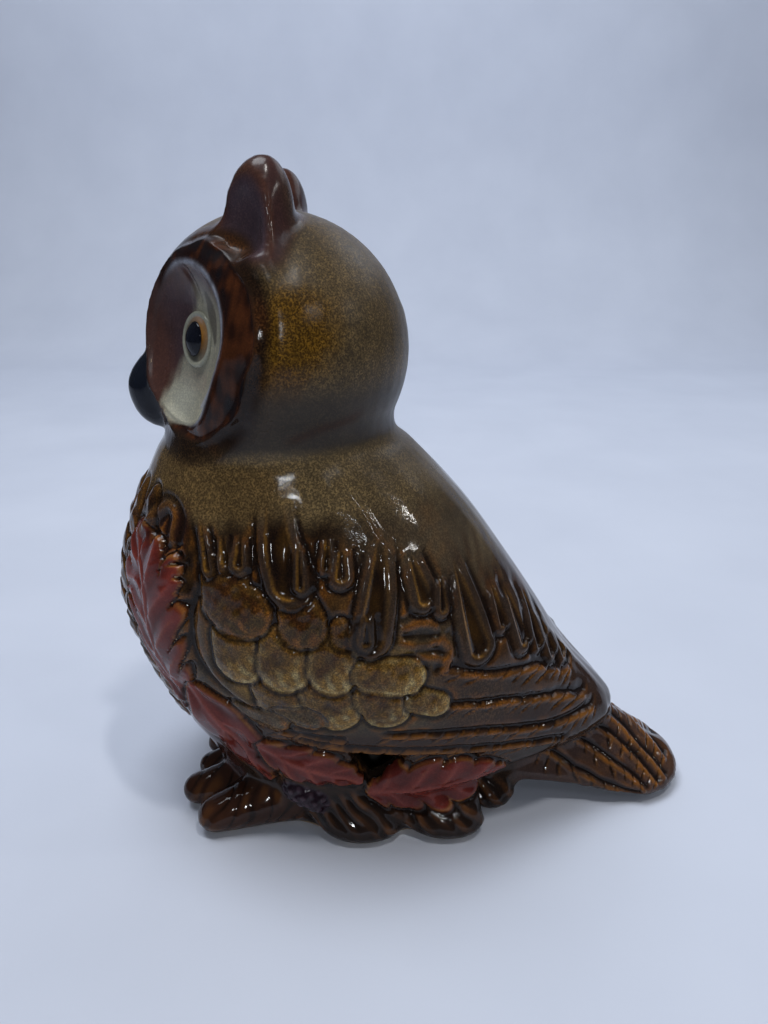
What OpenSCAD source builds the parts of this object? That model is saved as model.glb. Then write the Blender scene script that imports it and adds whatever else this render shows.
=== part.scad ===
// Owl coin bank: a hollow glazed earthenware figure with a rubber stopper in its base.
// Millimetres. +Z up, the owl faces -Y and its left side is +X. The origin is under the
// middle of the figure, on the surface that it stands on.

/* [Casting] */
// Thickness of the cast wall
wall = 5; // [4:0.5:6]
// Radius of the head, front to back and up
head_r = 44.5; // [44:0.5:45.5]
// Half the width of the head
head_half_w = 46.5; // [46:0.5:47.5]
// How far the folded wing stands out from the body
wing_lift = 4.5; // [3:0.5:6]
// How far a leaf stands out from the body
leaf_lift = 3; // [2:0.5:4]

/* [Face] */
// Half the width of each egg-shaped facial disc
disc_r = 28.5; // [28:0.5:29]
// Angle of each facial disc away from straight ahead
disc_yaw = 48; // [46:1:49]
// Angle by which each facial disc looks up
disc_pitch = 9; // [6:1:10]
// Diameter of the glazed ring round the eye
eye_d = 17; // [15:0.5:18]
// Diameter of the pupil
pupil_d = 10.8; // [9:0.2:12]

/* [Coins] */
// Length of the coin slot, front to back
slot_l = 34; // [30:1:36]
// Width of the coin slot
slot_w = 4.8; // [4.6:0.1:6]
// Diameter of the hole in the base that coins are taken out through
bore_d = 26; // [24:1:30]
// Gap between the stopper and its hole, on the radius
stopper_gap = 0.05; // [0.03:0.01:0.08]

/* [Hidden] */

glaze_olive = "#5d4d2b";
glaze_brown = "#4a2e1c";
glaze_dark = "#38221a";
glaze_red = "#84332d";
glaze_cream = "#a39f85";
glaze_black = "#14161a";
bare_clay = "#b79a78";
black_rubber = "#1d1d1d";

// Head: the centre of its ball and the height at which it joins the body
head_y = -48.5;
head_z = 172;
neck_z = 146;
neck_k = sqrt(1 - pow((neck_z - head_z) / head_r, 2));

// Body: height, front, back, half width and where it is widest
BODY = [
    [0, -62, 28, 40, -20],
    [7, -69, 30, 41, -20],
    [14, -76, 34, 42, -20],
    [21, -81, 46, 43, -21],
    [28, -85, 70, 44.5, -22],
    [35, -90, 79, 46.5, -23],
    [43, -94.5, 73, 48.5, -24],
    [52, -99, 64, 51, -25],
    [62, -103, 56, 53, -27],
    [74, -107, 48.5, 54.5, -29],
    [87, -109, 40, 54.5, -31],
    [100, -107.5, 31, 53.5, -34],
    [112, -104, 22.5, 51, -38],
    [123, -99.5, 13.5, 47.5, -42],
    [133, -94.5, 4, 43.5, -45],
    [140, -91, -3, 40.5, -47],
    [neck_z, head_y - head_r * neck_k, head_y + head_r * neck_k, head_half_w * neck_k, head_y],
];
BODY_LEVELS = concat([for (z = [0:3:36]) z], [for (z = [42:6:132]) z], [136, 140, 143, neck_z]);
BODY_COLS = 40;
HEAD_COLS = 40;
HEAD_STEP = 7.5;

floor_z = 3;
floor_t = 5;
bore_y = -20;
flange_r = bore_d / 2 + 3;
flange_t = 2;
plug_l = 12;
seat_gap = 0.3;

// Middle of the coin slot, front to back
slot_y = -25;

// Facial disc: how far its back is from the middle of the head, and its thickness
disc_in = 30.8;
disc_t = 4.5;
disc_face = 2.2;
disc_rim = 5.5;
eye_t = 1.6;
pupil_t = 2;

// How deep a sprigged part is set into the clay under it
bedding = 0.8;

function seg(z, i = 0) = i >= len(BODY) - 2 || z < BODY[i + 1][0] ? i : seg(z, i + 1);

function cubic(a, b, c, d, t) =
    b + 0.5 * t * (c - a + t * (2 * a - 5 * b + 4 * c - d + t * (3 * (b - c) + d - a)));

// The body's row of sizes at any height
function ring_at(z) =
    let (i = seg(z), t = (z - BODY[i][0]) / (BODY[i + 1][0] - BODY[i][0]))
    [for (k = [0:4])
        k == 0 ? z : cubic(BODY[max(i - 1, 0)][k], BODY[i][k], BODY[i + 1][k],
                           BODY[min(i + 2, len(BODY) - 1)][k], t)];

// A ring of points round the body, inset by the wall for the inside
function body_ring(z, inset) =
    let (r = ring_at(z))
    [for (j = [0:BODY_COLS - 1])
        let (a = 360 * j / BODY_COLS, depth = cos(a) >= 0 ? r[4] - r[1] : r[2] - r[4])
        [(r[3] - inset) * sin(a), r[4] - (depth - inset) * cos(a), z]];

function head_ring(angle, inset) =
    [for (j = [0:HEAD_COLS - 1])
        let (a = 360 * j / HEAD_COLS)
        [(head_half_w - inset) * cos(angle) * sin(a),
         head_y - (head_r - inset) * cos(angle) * cos(a),
         head_z + (head_r - inset) * sin(angle)]];

// Half width of the body's skin at a place seen from the side
function side_x(y, z) =
    let (r = ring_at(z), depth = y < r[4] ? r[4] - r[1] : r[2] - r[4])
    r[3] * sqrt(max(0.02, 1 - pow((y - r[4]) / depth, 2)));

function bezier(p, t) =
    pow(1 - t, 3) * p[0] + 3 * t * pow(1 - t, 2) * p[1] + 3 * t * t * (1 - t) * p[2] + pow(t, 3) * p[3];

// A closed skin through rings of points, with a flat cap on each end
module loft(rings) {
    n = len(rings[0]);
    m = len(rings);
    sides = [for (i = [0:m - 2], j = [0:n - 1], half = [0, 1])
        let (a = i * n + j, b = i * n + (j + 1) % n, c = a + n, d = b + n)
        half == 0 ? [a, c, b] : [b, c, d]];
    caps = [[for (j = [0:n - 1]) j], [for (j = [n - 1:-1:0]) (m - 1) * n + j]];
    polyhedron([for (r = rings) each r], concat(sides, caps), convexity = 10);
}

// A tube of rings whose last ring joins its first
module ring_wall(rings) {
    n = len(rings[0]);
    m = len(rings);
    sides = [for (i = [0:m - 1], j = [0:n - 1], half = [0, 1])
        let (a = i * n + j, b = i * n + (j + 1) % n,
             c = ((i + 1) % m) * n + j, d = ((i + 1) % m) * n + (j + 1) % n)
        half == 0 ? [a, c, b] : [b, c, d]];
    polyhedron([for (r = rings) each r], sides, convexity = 10);
}

module body_core() {
    loft([for (z = BODY_LEVELS) body_ring(z, 0)]);
}

module head_core() {
    loft([for (a = concat([asin((neck_z - head_z) / head_r)], [for (a = [-30:HEAD_STEP:85]) a], [88]))
        head_ring(a, 0)]);
}

// Places something in front of the owl's left facial disc: +Z points out of the face
module at_disc() {
    translate([0, head_y, head_z])
        rotate([0, 0, disc_yaw - 90])
            rotate([0, 90 - disc_pitch, 0])
                children();
}

module left_or_right(side) {
    if (side > 0) children();
    else mirror([1, 0, 0]) children();
}

// Pierced opening under the wing, made through both sides
module side_opening() {
    corner_r = 1.6;
    for (side = [-1, 1])
        left_or_right(side)
            translate([30, 0, 0])
                rotate([90, 0, 90])
                    linear_extrude(40)
                        hull()
                            for (p = [[-21.5, 35], [-6, 34], [-16, 27]])
                                translate(p) circle(r = corner_r, $fn = 24);
}

module body_shell() {
    straight = floor_z + floor_t;
    inner = [for (z = BODY_LEVELS) if (z > straight + 2) body_ring(z, wall)];
    inner_foot = [for (z = [straight, 0]) [for (p = body_ring(0, wall)) [p[0], p[1], z]]];
    color(glaze_brown)
        difference() {
            ring_wall(concat([for (z = BODY_LEVELS) body_ring(z, 0)],
                             [for (i = [len(inner) - 1:-1:0]) inner[i]], inner_foot));
            side_opening();
        }
}

module head_shell() {
    join = asin((neck_z - head_z) / head_r);
    join_in = asin((neck_z - head_z) / (head_r - wall));
    angles = [for (a = [-30:HEAD_STEP:85]) a];
    color(glaze_olive)
        difference() {
            loft(concat([for (i = [len(angles) - 1:-1:0]) head_ring(angles[i], wall)],
                        [head_ring(join_in, wall)], [head_ring(join, 0)],
                        [for (a = angles) head_ring(a, 0)], [head_ring(88, 0)]));
            // seats of the facial discs
            for (side = [-1, 1])
                left_or_right(side)
                    at_disc() translate([0, 0, disc_in]) cylinder(r = 36, h = 30);
            // coin slot, cut straight down
            translate([-slot_w / 2, slot_y - slot_l / 2, head_z + 5])
                cube([slot_w, slot_l, 60]);
        }
}

module base_floor() {
    color(bare_clay)
        translate([0, 0, floor_z])
            difference() {
                linear_extrude(floor_t)
                    polygon([for (p = body_ring(0, wall)) [p[0], p[1]]]);
                translate([0, bore_y, -1]) cylinder(d = bore_d, h = floor_t + 2, $fn = 64);
            }
}

module stopper() {
    plug_r = bore_d / 2 - stopper_gap;
    rubber_t = 3;
    color(black_rubber)
        translate([0, bore_y, floor_z])
            rotate_extrude($fn = 64)
                polygon([[0, -flange_t], [flange_r - 0.6, -flange_t], [flange_r, -flange_t + 0.6],
                         [flange_r, -seat_gap], [plug_r, -seat_gap], [plug_r, floor_t + 1], [plug_r - 1.5, plug_l],
                         [plug_r - rubber_t, plug_l], [plug_r - rubber_t, rubber_t - 1], [0, rubber_t - 1]]);
}

module beak() {
    color(glaze_black)
        difference() {
            hull() {
                translate([0, head_y - 44, head_z - 5]) sphere(r = 3.6, $fn = 28);
                translate([0, head_y - 45.5, head_z - 13]) sphere(r = 7, $fn = 28);
                translate([0, head_y - 42.5, head_z - 24]) sphere(r = 3.4, $fn = 28);
            }
            head_core();
            body_core();
            for (side = [-1, 1])
                left_or_right(side) at_disc() disc_outline(0, disc_t);
        }
}

module tail() {
    // distance back, height of the ridge, half width and height of the side edges
    stations = [[20, 28, 20, 5.2], [38, 36, 24, 10.5], [60, 37, 24.5, 8.5], [76, 31, 25, 5],
                [90, 21.5, 25, 3.2], [98.5, 14.5, 21, 3], [104.5, 10.5, 14.5, 3], [107.5, 7.5, 7, 4]];
    half_cols = 6;
    rings = [for (s = stations)
        concat(
            [for (j = [-half_cols:half_cols])
                let (u = j / half_cols)
                [u * s[2], s[0], s[3] + 3 + (s[1] - s[3] - 3) * pow(cos(90 * u), 0.9)]],
            [for (j = [half_cols:-1:-half_cols])
                let (u = j / half_cols)
                [u * (s[2] - 1), s[0], s[3] + 1.5 * cos(90 * u)]])];
    color(glaze_dark)
        difference() {
            loft(rings);
            body_core();
        }
}

module ear(side) {
    color(glaze_dark)
        left_or_right(side)
            difference() {
                hull() {
                    translate([20, -58.5, 205]) sphere(r = 4.5, $fn = 24);
                    translate([20.5, -55.5, 218]) sphere(r = 3.8, $fn = 24);
                    translate([16, -43.5, 206]) sphere(r = 5.5, $fn = 24);
                    translate([17, -45, 219]) sphere(r = 4.6, $fn = 24);
                    translate([34.5, -47.5, 200]) sphere(r = 4.5, $fn = 24);
                    translate([29, -47.5, 217]) sphere(r = 4.2, $fn = 24);
                    translate([22.5, -47, 225.6]) sphere(r = 4.4, $fn = 24);
                }
                // hollow of the ear, open outwards and forwards
                translate([34, -61, 212]) sphere(r = 13, $fn = 40);
                head_core();
                at_disc() disc_outline(0.2, 30);
            }
}

// The facial disc's egg shape, grown or shrunk all round, standing on the disc's seat
module disc_outline(grow, height) {
    translate([0, 0, disc_in])
        hull() {
            translate([-1.5, 0, 0]) cylinder(r = disc_r + grow, h = height, $fn = 64);
            translate([7.5, 0, 0]) cylinder(r = disc_r - 1.5 + grow, h = height, $fn = 64);
        }
}

module face_disc(side) {
    color(glaze_cream)
        left_or_right(side)
            difference() {
                at_disc() disc_outline(0, disc_t);
                at_disc() translate([0, 0, disc_face]) disc_outline(-disc_rim, disc_t);
                body_core();
            }
}

module eye_ring(side) {
    color(glaze_cream)
        left_or_right(side)
            at_disc()
                translate([0, 0, disc_in + disc_face])
                    rotate_extrude($fn = 48)
                        polygon([[0, 0], [eye_d / 2, 0], [eye_d / 2 - 1, eye_t], [0, eye_t]]);
}

module pupil(side) {
    dome_r = pow(pupil_d / 2, 2) / (2 * pupil_t) + pupil_t / 2;
    color(glaze_black)
        left_or_right(side)
            at_disc()
                translate([0, 0, disc_in + disc_face + eye_t])
                    intersection() {
                        translate([0, 0, pupil_t - dome_r]) sphere(r = dome_r, $fn = 96);
                        cylinder(d = pupil_d + 1, h = pupil_t + 1, $fn = 64);
                    }
}

// A sheet of clay pressed on the side of the body, between two curves seen from the side
module side_sprig(upper, lower, lift, rows, cols, side) {
    grid = [for (out = [0, 1]) [for (i = [0:rows], j = [0:cols])
        let (s = 0.015 + 0.97 * i / rows, t = j / cols,
             a = bezier(upper, s), b = bezier(lower, s), p = a + (b - a) * t,
             rise = lift * pow(max(0, sin(180 * s)), 0.5) * pow(max(0, sin(180 * t)), 0.5),
             x = side_x(p[0], p[1]) + (out ? 0.3 + rise : -bedding))
        [x, p[0], p[1]]]];
    w = cols + 1;
    top = (rows + 1) * w;
    outside = [for (i = [0:rows - 1], j = [0:cols - 1], half = [0, 1])
        let (a = top + i * w + j, b = a + 1, c = a + w, d = c + 1)
        half == 0 ? [a, c, b] : [b, c, d]];
    inside = [for (f = outside) [f[0] - top, f[2] - top, f[1] - top]];
    edge = concat([for (j = [0:cols - 1]) j], [for (i = [0:rows - 1]) i * w + cols],
                  [for (j = [cols:-1:1]) rows * w + j], [for (i = [rows:-1:1]) i * w]);
    rim = [for (k = [0:len(edge) - 1], half = [0, 1])
        let (a = edge[k], b = edge[(k + 1) % len(edge)])
        half == 0 ? [a, b + top, b] : [a, a + top, b + top]];
    left_or_right(side)
        polyhedron(concat(grid[0], grid[1]), concat(outside, inside, rim), convexity = 6);
}

// A leaf between its stalk and its tip, seen from the side
module side_leaf(stalk, tip, half_w, side) {
    along = tip - stalk;
    across = half_w * [-along[1], along[0]] / norm(along);
    side_sprig([stalk, stalk + 0.2 * along + 1.5 * across, stalk + 0.7 * along + 1.5 * across, tip],
               [stalk, stalk + 0.2 * along - 1.5 * across, stalk + 0.7 * along - 1.5 * across, tip],
               leaf_lift, 12, 6, side);
}

module wing(side) {
    color(glaze_brown)
        side_sprig([[-71, 97], [-66, 158], [16, 122], [77, 36]],
                   [[-71, 97], [-74, 28], [0, 44], [77, 30]], wing_lift, 22, 12, side);
}

module toe(tip_x, tip_y, root_x, root_y, r) {
    hull() {
        translate([tip_x, tip_y + r * 0.95, r * 0.9]) scale([1, 1, 0.9]) sphere(r = r * 0.95, $fn = 20);
        translate([(tip_x + root_x) / 2, (tip_y + root_y) / 2, r * 1.1]) sphere(r = r * 1.1, $fn = 20);
        translate([root_x, root_y, r * 1.35]) sphere(r = r * 1.25, $fn = 20);
    }
}

module foot(side) {
    color(glaze_dark)
        left_or_right(side)
            difference() {
                union() {
                    toe(37.5, -81, 31, -48, 7.5);
                    toe(22.5, -90, 19, -58, 6.8);
                    toe(8, -87, 8, -58, 6.4);
                }
                body_core();
                translate([-60, -120, -20]) cube([120, 120, 20]);
                translate([-20, -120, -1]) cube([20, 120, 40]);
            }
}

module lobe(y, half_l, reach, top) {
    hull() {
        translate([reach - 8, y, 5.5]) scale([1, half_l / 8, 0.7]) sphere(r = 8, $fn = 24);
        translate([reach - 13, y + 3, top - 6]) scale([1, half_l / 10, 1]) sphere(r = 6, $fn = 24);
    }
}

module base_lobes(side) {
    color(glaze_dark)
        left_or_right(side)
            difference() {
                union() {
                    lobe(-20, 14.5, 49, 23);
                    lobe(11, 14, 47, 22);
                    lobe(29, 9, 31, 18);
                }
                body_core();
                translate([0, -60, -20]) cube([60, 120, 20]);
            }
}

module chest_leaf(side) {
    color(glaze_red)
        side_leaf([-84, 62], [-84, 120], 12, side);
}

module lower_leaf(side) {
    color(glaze_red)
        side_leaf([-66, 40], [-86, 60], 8, side);
}

module side_leaf_front(side) {
    color(glaze_red)
        side_leaf([-64, 33], [-24, 30.5], 6.5, side);
}

module side_leaf_rear(side) {
    color(glaze_red)
        side_leaf([-12, 24], [32, 31], 7, side);
}

module acorn(side) {
    color(glaze_dark)
        left_or_right(side)
            difference() {
                hull() {
                    translate([41, -36.5, 16]) sphere(r = 4.6, $fn = 20);
                    translate([40.5, -45, 20]) sphere(r = 3.6, $fn = 20);
                }
                body_core();
            }
}

body_shell();
head_shell();
base_floor();
stopper();
beak();
tail();
ear(1);  // ear_left
ear(-1);  // ear_right
face_disc(1);  // face_disc_left
face_disc(-1);  // face_disc_right
eye_ring(1);  // eye_ring_left
eye_ring(-1);  // eye_ring_right
pupil(1);  // pupil_left
pupil(-1);  // pupil_right
wing(1);  // wing_left
wing(-1);  // wing_right
foot(1);  // foot_left
foot(-1);  // foot_right
base_lobes(1);  // base_lobes_left
base_lobes(-1);  // base_lobes_right
chest_leaf(1);  // chest_leaf_left
chest_leaf(-1);  // chest_leaf_right
lower_leaf(1);  // lower_leaf_left
lower_leaf(-1);  // lower_leaf_right
side_leaf_front(1);  // side_leaf_front_left
side_leaf_front(-1);  // side_leaf_front_right
side_leaf_rear(1);  // side_leaf_rear_left
side_leaf_rear(-1);  // side_leaf_rear_right
acorn(1);  // acorn_left
acorn(-1);  // acorn_right
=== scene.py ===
"""Owl coin bank: the fused glazed skin, the eyes and a plain studio, built round the CAD frame."""

import math

import bpy
import numpy as np
import openvdb as vdb
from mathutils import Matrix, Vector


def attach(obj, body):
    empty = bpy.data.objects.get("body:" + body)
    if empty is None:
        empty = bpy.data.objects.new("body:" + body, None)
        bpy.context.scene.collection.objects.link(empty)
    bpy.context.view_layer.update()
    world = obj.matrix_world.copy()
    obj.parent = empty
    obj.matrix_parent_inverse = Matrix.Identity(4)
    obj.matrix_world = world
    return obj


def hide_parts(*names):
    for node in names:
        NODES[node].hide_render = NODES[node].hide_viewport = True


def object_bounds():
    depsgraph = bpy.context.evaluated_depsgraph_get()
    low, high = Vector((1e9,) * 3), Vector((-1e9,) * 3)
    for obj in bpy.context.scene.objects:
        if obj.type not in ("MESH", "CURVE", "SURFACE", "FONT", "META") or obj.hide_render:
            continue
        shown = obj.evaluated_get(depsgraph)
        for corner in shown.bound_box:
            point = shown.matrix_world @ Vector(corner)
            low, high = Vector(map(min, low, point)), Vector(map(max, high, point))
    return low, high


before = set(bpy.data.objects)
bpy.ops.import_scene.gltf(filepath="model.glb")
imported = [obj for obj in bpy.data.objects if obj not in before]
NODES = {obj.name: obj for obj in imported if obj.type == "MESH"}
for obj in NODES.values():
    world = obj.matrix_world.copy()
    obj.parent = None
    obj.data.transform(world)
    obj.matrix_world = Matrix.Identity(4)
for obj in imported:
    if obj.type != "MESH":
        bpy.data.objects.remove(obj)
cad_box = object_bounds()

MM = 0.001

# ---------------------------------------------------------------- sizes, in millimetres
VOXEL = 1.3
BAND = 6
MARGIN = 8
WALL = 5.0
FLOOR_TOP = 8.0
TABLE_GAP = 0.02

# How thick the closed pieces are, where the glazed body under them is thick enough
SHELL_T = 4.0
DISC_T = 1.8
FINE_T = 1.4
LEAST_T = 0.3

# The head's middle and its half lengths, and how far the glaze swells it
HEAD_C = np.array([0.0, -48.5, 172.0])
HEAD_R = np.array([46.5, 44.5, 44.5])
HEAD_SWELL = 0.4

# How far each facial disc turns out and up, and how far its rim stands from the head's middle
DISC_YAW = math.radians(48)
DISC_PITCH = math.radians(9)
DISC_SEAT = 30.8

# The coin slot's middle, and its half width and half length
SLOT_Y = -25.0
SLOT_HALF = (2.4, 17.0)

# The hollow of the left ear: an egg's middle and its half lengths
EAR_HOLLOW = (np.array([38.0, -62.0, 213.0]), np.array([15.5, 16.0, 24.0]))
EAR_FLOOR = 203.5
EAR_ROOT = np.array([26.5, -59.0, 205.5])
EAR_TIP = (np.array([22.5, -48.5, 217.5]), np.array([7.5, 9.5, 12.3]))
BEAK_BULGE = (np.array([0.0, -92.0, 157.5]), np.array([8.0, 8.9, 12.5]))

# The opening under each wing: the corners of a triangle, (y, z), and the inner end of the cut
SIDE_HOLE = ((-24.5, 41.5), (-16.5, 24.5), (-4.0, 39.0))
SIDE_HOLE_X = 33.0

# The left facial disc's own axes: out of the face, up it, and towards its outer side
DISC_OUT = np.array([math.cos(DISC_PITCH) * math.sin(DISC_YAW),
                     -math.cos(DISC_PITCH) * math.cos(DISC_YAW),
                     math.sin(DISC_PITCH)])
DISC_UP = np.array([-math.sin(DISC_PITCH) * math.sin(DISC_YAW),
                    math.sin(DISC_PITCH) * math.cos(DISC_YAW),
                    math.cos(DISC_PITCH)])
DISC_SIDE = np.array([math.cos(DISC_YAW), math.sin(DISC_YAW), 0.0])

# The disc's dish: where it is deepest, across and up, its reach, and its deepest level
DISH_ACROSS = -7.0
DISH_UP = -2.0
REACH_OUTWARDS = 23.0
REACH_INWARDS = 21.0
REACH_UP = 26.0
DISH_BOTTOM = 29.6
DISH_SLOPE = 0.10

# The eye's inward turn and place on the disc, and the pupil's shift and share of its width
EYE_TURN = math.radians(6)
EYE_PLACE = (-2.8, 0.4)
PUPIL_SHIFT = 1.7
PUPIL_NARROW = 0.84

# ---------------------------------------------------------------- glaze colours
OLIVE = (0.090, 0.066, 0.036)
KHAKI = (0.170, 0.128, 0.070)
GOLD = (0.120, 0.062, 0.004)
HONEY = (0.130, 0.062, 0.009)
BROWN = (0.024, 0.012, 0.005)
DARK = (0.010, 0.005, 0.003)
INK = (0.006, 0.006, 0.008)
AMBER = (0.190, 0.076, 0.015)
ORANGE = (0.200, 0.072, 0.010)
RUST = (0.045, 0.017, 0.006)
LINE = (0.230, 0.112, 0.018)
UMBER = (0.030, 0.016, 0.011)
CLAY = (0.420, 0.300, 0.180)

# Head, neck and the flanks round the wing
CHEEK = (0.060, 0.028, 0.010)
JAW = (0.032, 0.025, 0.020)
JAW_SHADE = (0.022, 0.008, 0.004)
THROAT = (0.085, 0.050, 0.016)
NECK_STREAK = (0.036, 0.016, 0.007)
SHOULDER_WARM = (0.095, 0.042, 0.009)
BACK = (0.085, 0.066, 0.044)
BEHIND_COVERTS = (0.044, 0.024, 0.013)
FLANK = (0.050, 0.037, 0.025)
BELLY_SMOKE = (0.062, 0.050, 0.036)
SKIRT = (0.030, 0.018, 0.012)
BREAST = (0.045, 0.016, 0.012)

# Feathers
SMOKE = (0.036, 0.024, 0.018)
MOTTLE = (0.225, 0.135, 0.034)
CREAM_GLAZE = (0.370, 0.315, 0.165)
COVERT_PAINTED_SHADE = (0.078, 0.042, 0.011)
TOP_COVERT = (0.060, 0.036, 0.009)
LOW_TIP = (0.085, 0.068, 0.045)
BREAST_FEATHER = (0.050, 0.026, 0.012)
CURL = (0.100, 0.048, 0.018)
WING_FRONT = (0.075, 0.055, 0.034)
WING_CREST = (0.150, 0.085, 0.030)
TAIL_GLAZE = (0.062, 0.038, 0.032)
TAIL_WARM = (0.100, 0.040, 0.010)

# Leaves and acorns
RED = (0.140, 0.023, 0.017)
ROSE = (0.260, 0.062, 0.048)
WINE = (0.060, 0.013, 0.011)
OCHRE = (0.300, 0.130, 0.026)
ACORN = (0.024, 0.012, 0.019)
ACORN_HIGHLIGHT = (0.075, 0.046, 0.060)

# Feet and lobes
TOE = (0.040, 0.016, 0.009)
TOE_BAR = (0.120, 0.046, 0.014)
LOBE = (0.020, 0.012, 0.009)
LOBE_RIB = (0.125, 0.050, 0.018)

# Face, ears and beak
FACE_CREAM = (0.330, 0.320, 0.248)
FACE_PALE = (0.340, 0.340, 0.285)
FACE_LINE = (0.300, 0.320, 0.380)
FACE_PLUM = (0.060, 0.036, 0.041)
FACE_INNER = (0.075, 0.028, 0.015)
FACE_BROW = (0.080, 0.034, 0.018)
FACE_WEDGE = (0.060, 0.052, 0.042)
BLUSH = (0.160, 0.090, 0.080)
DISC_WALL = (0.016, 0.008, 0.005)
DISC_WALL_WARM = (0.080, 0.030, 0.010)
BEVEL = (0.020, 0.007, 0.004)
COPPER = (0.075, 0.023, 0.008)
PLUM = (0.058, 0.038, 0.047)
EAR = (0.052, 0.025, 0.023)
EAR_WARM = (0.062, 0.023, 0.014)
EAR_RIM = (0.075, 0.030, 0.018)
BEAK = (0.008, 0.010, 0.016)
EYE_CREAM = (0.300, 0.300, 0.240)
IRIS = (0.420, 0.170, 0.020)
PUPIL = (0.006, 0.007, 0.012)


# ---------------------------------------------------------------- studio
# The camera looks down a little on the owl's left side. Lengths of the lens are in millimetres
CAMERA_PLACE = (0.2686, -0.012, 0.207)
CAMERA_DROP = 19.5
CAMERA_LENS = 27.04
CAMERA_SENSOR = 36


def add_camera():
    camera = bpy.data.objects.new("camera", bpy.data.cameras.new("camera"))
    bpy.context.scene.collection.objects.link(camera)
    camera.location = CAMERA_PLACE
    camera.rotation_euler = (math.radians(90 - CAMERA_DROP), 0, math.radians(90))
    camera.data.lens = CAMERA_LENS
    camera.data.sensor_width = CAMERA_SENSOR
    camera.data.clip_start = 0.01
    bpy.context.scene.camera = camera


COOL = (0.92, 0.96, 1.0)
WARM = (1.0, 0.98, 0.95)
OWL_MIDDLE = (0, 0, 0.12)


def add_area(name, place, size, power, colour, target=OWL_MIDDLE):
    """A rectangular soft light, in metres and watts, turned to its target"""
    light = bpy.data.lights.new(name, "AREA")
    light.shape = "RECTANGLE"
    light.size, light.size_y = size
    light.energy = power
    light.color = colour
    holder = bpy.data.objects.new(name, light)
    bpy.context.scene.collection.objects.link(holder)
    holder.location = place
    direction = holder.location - Vector(target)
    holder.rotation_euler = direction.to_track_quat("Z", "Y").to_euler()


def add_sweep():
    """A pale floor that curves up into the backdrop"""
    width, near, far, radius, top = 3.2, 1.2, -1.5, 0.5, 1.6
    profile = [(near, 0.0), (0.4, 0.0), (0.0, 0.0), (-0.4, 0.0), (far + radius, 0.0)]
    for k in range(1, 13):
        a = math.radians(90 * k / 12)
        profile.append((far + radius - radius * math.sin(a), radius - radius * math.cos(a)))
    profile.append((far, top))
    verts = [(x, y, z) for x, z in profile for y in (-width / 2, width / 2)]
    faces = [(2 * i, 2 * i + 1, 2 * i + 3, 2 * i + 2) for i in range(len(profile) - 1)]
    mesh = bpy.data.meshes.new("backdrop")
    mesh.from_pydata(verts, [], faces)
    mesh.shade_smooth()
    sweep = bpy.data.objects.new("backdrop", mesh)
    bpy.context.scene.collection.objects.link(sweep)
    mesh.materials.append(paper_material())


def add_world():
    world = bpy.data.worlds.new("room")
    world.use_nodes = True
    world.node_tree.nodes["Background"].inputs["Color"].default_value = (0.70, 0.80, 1.0, 1)
    world.node_tree.nodes["Background"].inputs["Strength"].default_value = 0.07
    bpy.context.scene.world = world


# ---------------------------------------------------------------- materials
# The Mix node's sockets for colours
COLOUR_A, COLOUR_B, COLOUR_RESULT = 6, 7, 2


class Shader:
    """A short way to write a node tree"""

    def __init__(self, name):
        self.material = bpy.data.materials.new(name)
        self.material.use_nodes = True
        self.tree = self.material.node_tree
        self.main = self.tree.nodes["Principled BSDF"]

    def node(self, kind, **inputs):
        made = self.tree.nodes.new(kind)
        for key, value in inputs.items():
            self.put(made.inputs[key.replace("_", " ")], value)
        return made

    def put(self, socket, value):
        if isinstance(value, bpy.types.NodeSocket):
            self.tree.links.new(value, socket)
        elif isinstance(value, tuple) and len(value) == 3 and socket.type == "RGBA":
            socket.default_value = (*value, 1)
        else:
            socket.default_value = value

    def set(self, **inputs):
        for key, value in inputs.items():
            self.put(self.main.inputs[key.replace("_", " ")], value)

    def where(self):
        return self.node("ShaderNodeTexCoord").outputs["Object"]

    def noise(self, scale, detail=3.0, rough=0.55, place=None):
        made = self.node("ShaderNodeTexNoise", Scale=scale, Detail=detail, Roughness=rough)
        self.put(made.inputs["Vector"], place or self.where())
        return made.outputs["Fac"]

    def attribute(self, name):
        made = self.node("ShaderNodeAttribute")
        made.attribute_name = name
        return made

    def math(self, operation, a, b=0.0, clamp=False):
        made = self.node("ShaderNodeMath")
        made.operation = operation
        made.use_clamp = clamp
        self.put(made.inputs[0], a)
        self.put(made.inputs[1], b)
        return made.outputs[0]

    def remap(self, value, low, high, to_low=0.0, to_high=1.0):
        made = self.node("ShaderNodeMapRange", Value=value)
        made.inputs["From Min"].default_value = low
        made.inputs["From Max"].default_value = high
        made.inputs["To Min"].default_value = to_low
        made.inputs["To Max"].default_value = to_high
        return made.outputs["Result"]

    def mix(self, amount, a, b, blend="MIX"):
        made = self.node("ShaderNodeMix")
        made.data_type = "RGBA"
        made.blend_type = blend
        self.put(made.inputs["Factor"], amount)
        self.put(made.inputs[COLOUR_A], a)
        self.put(made.inputs[COLOUR_B], b)
        return made.outputs[COLOUR_RESULT]

    def bump(self, height, distance, strength=1.0, under=None):
        made = self.node("ShaderNodeBump", Height=height, Strength=strength, Distance=distance)
        if under is not None:
            self.put(made.inputs["Normal"], under)
        return made.outputs["Normal"]


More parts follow.
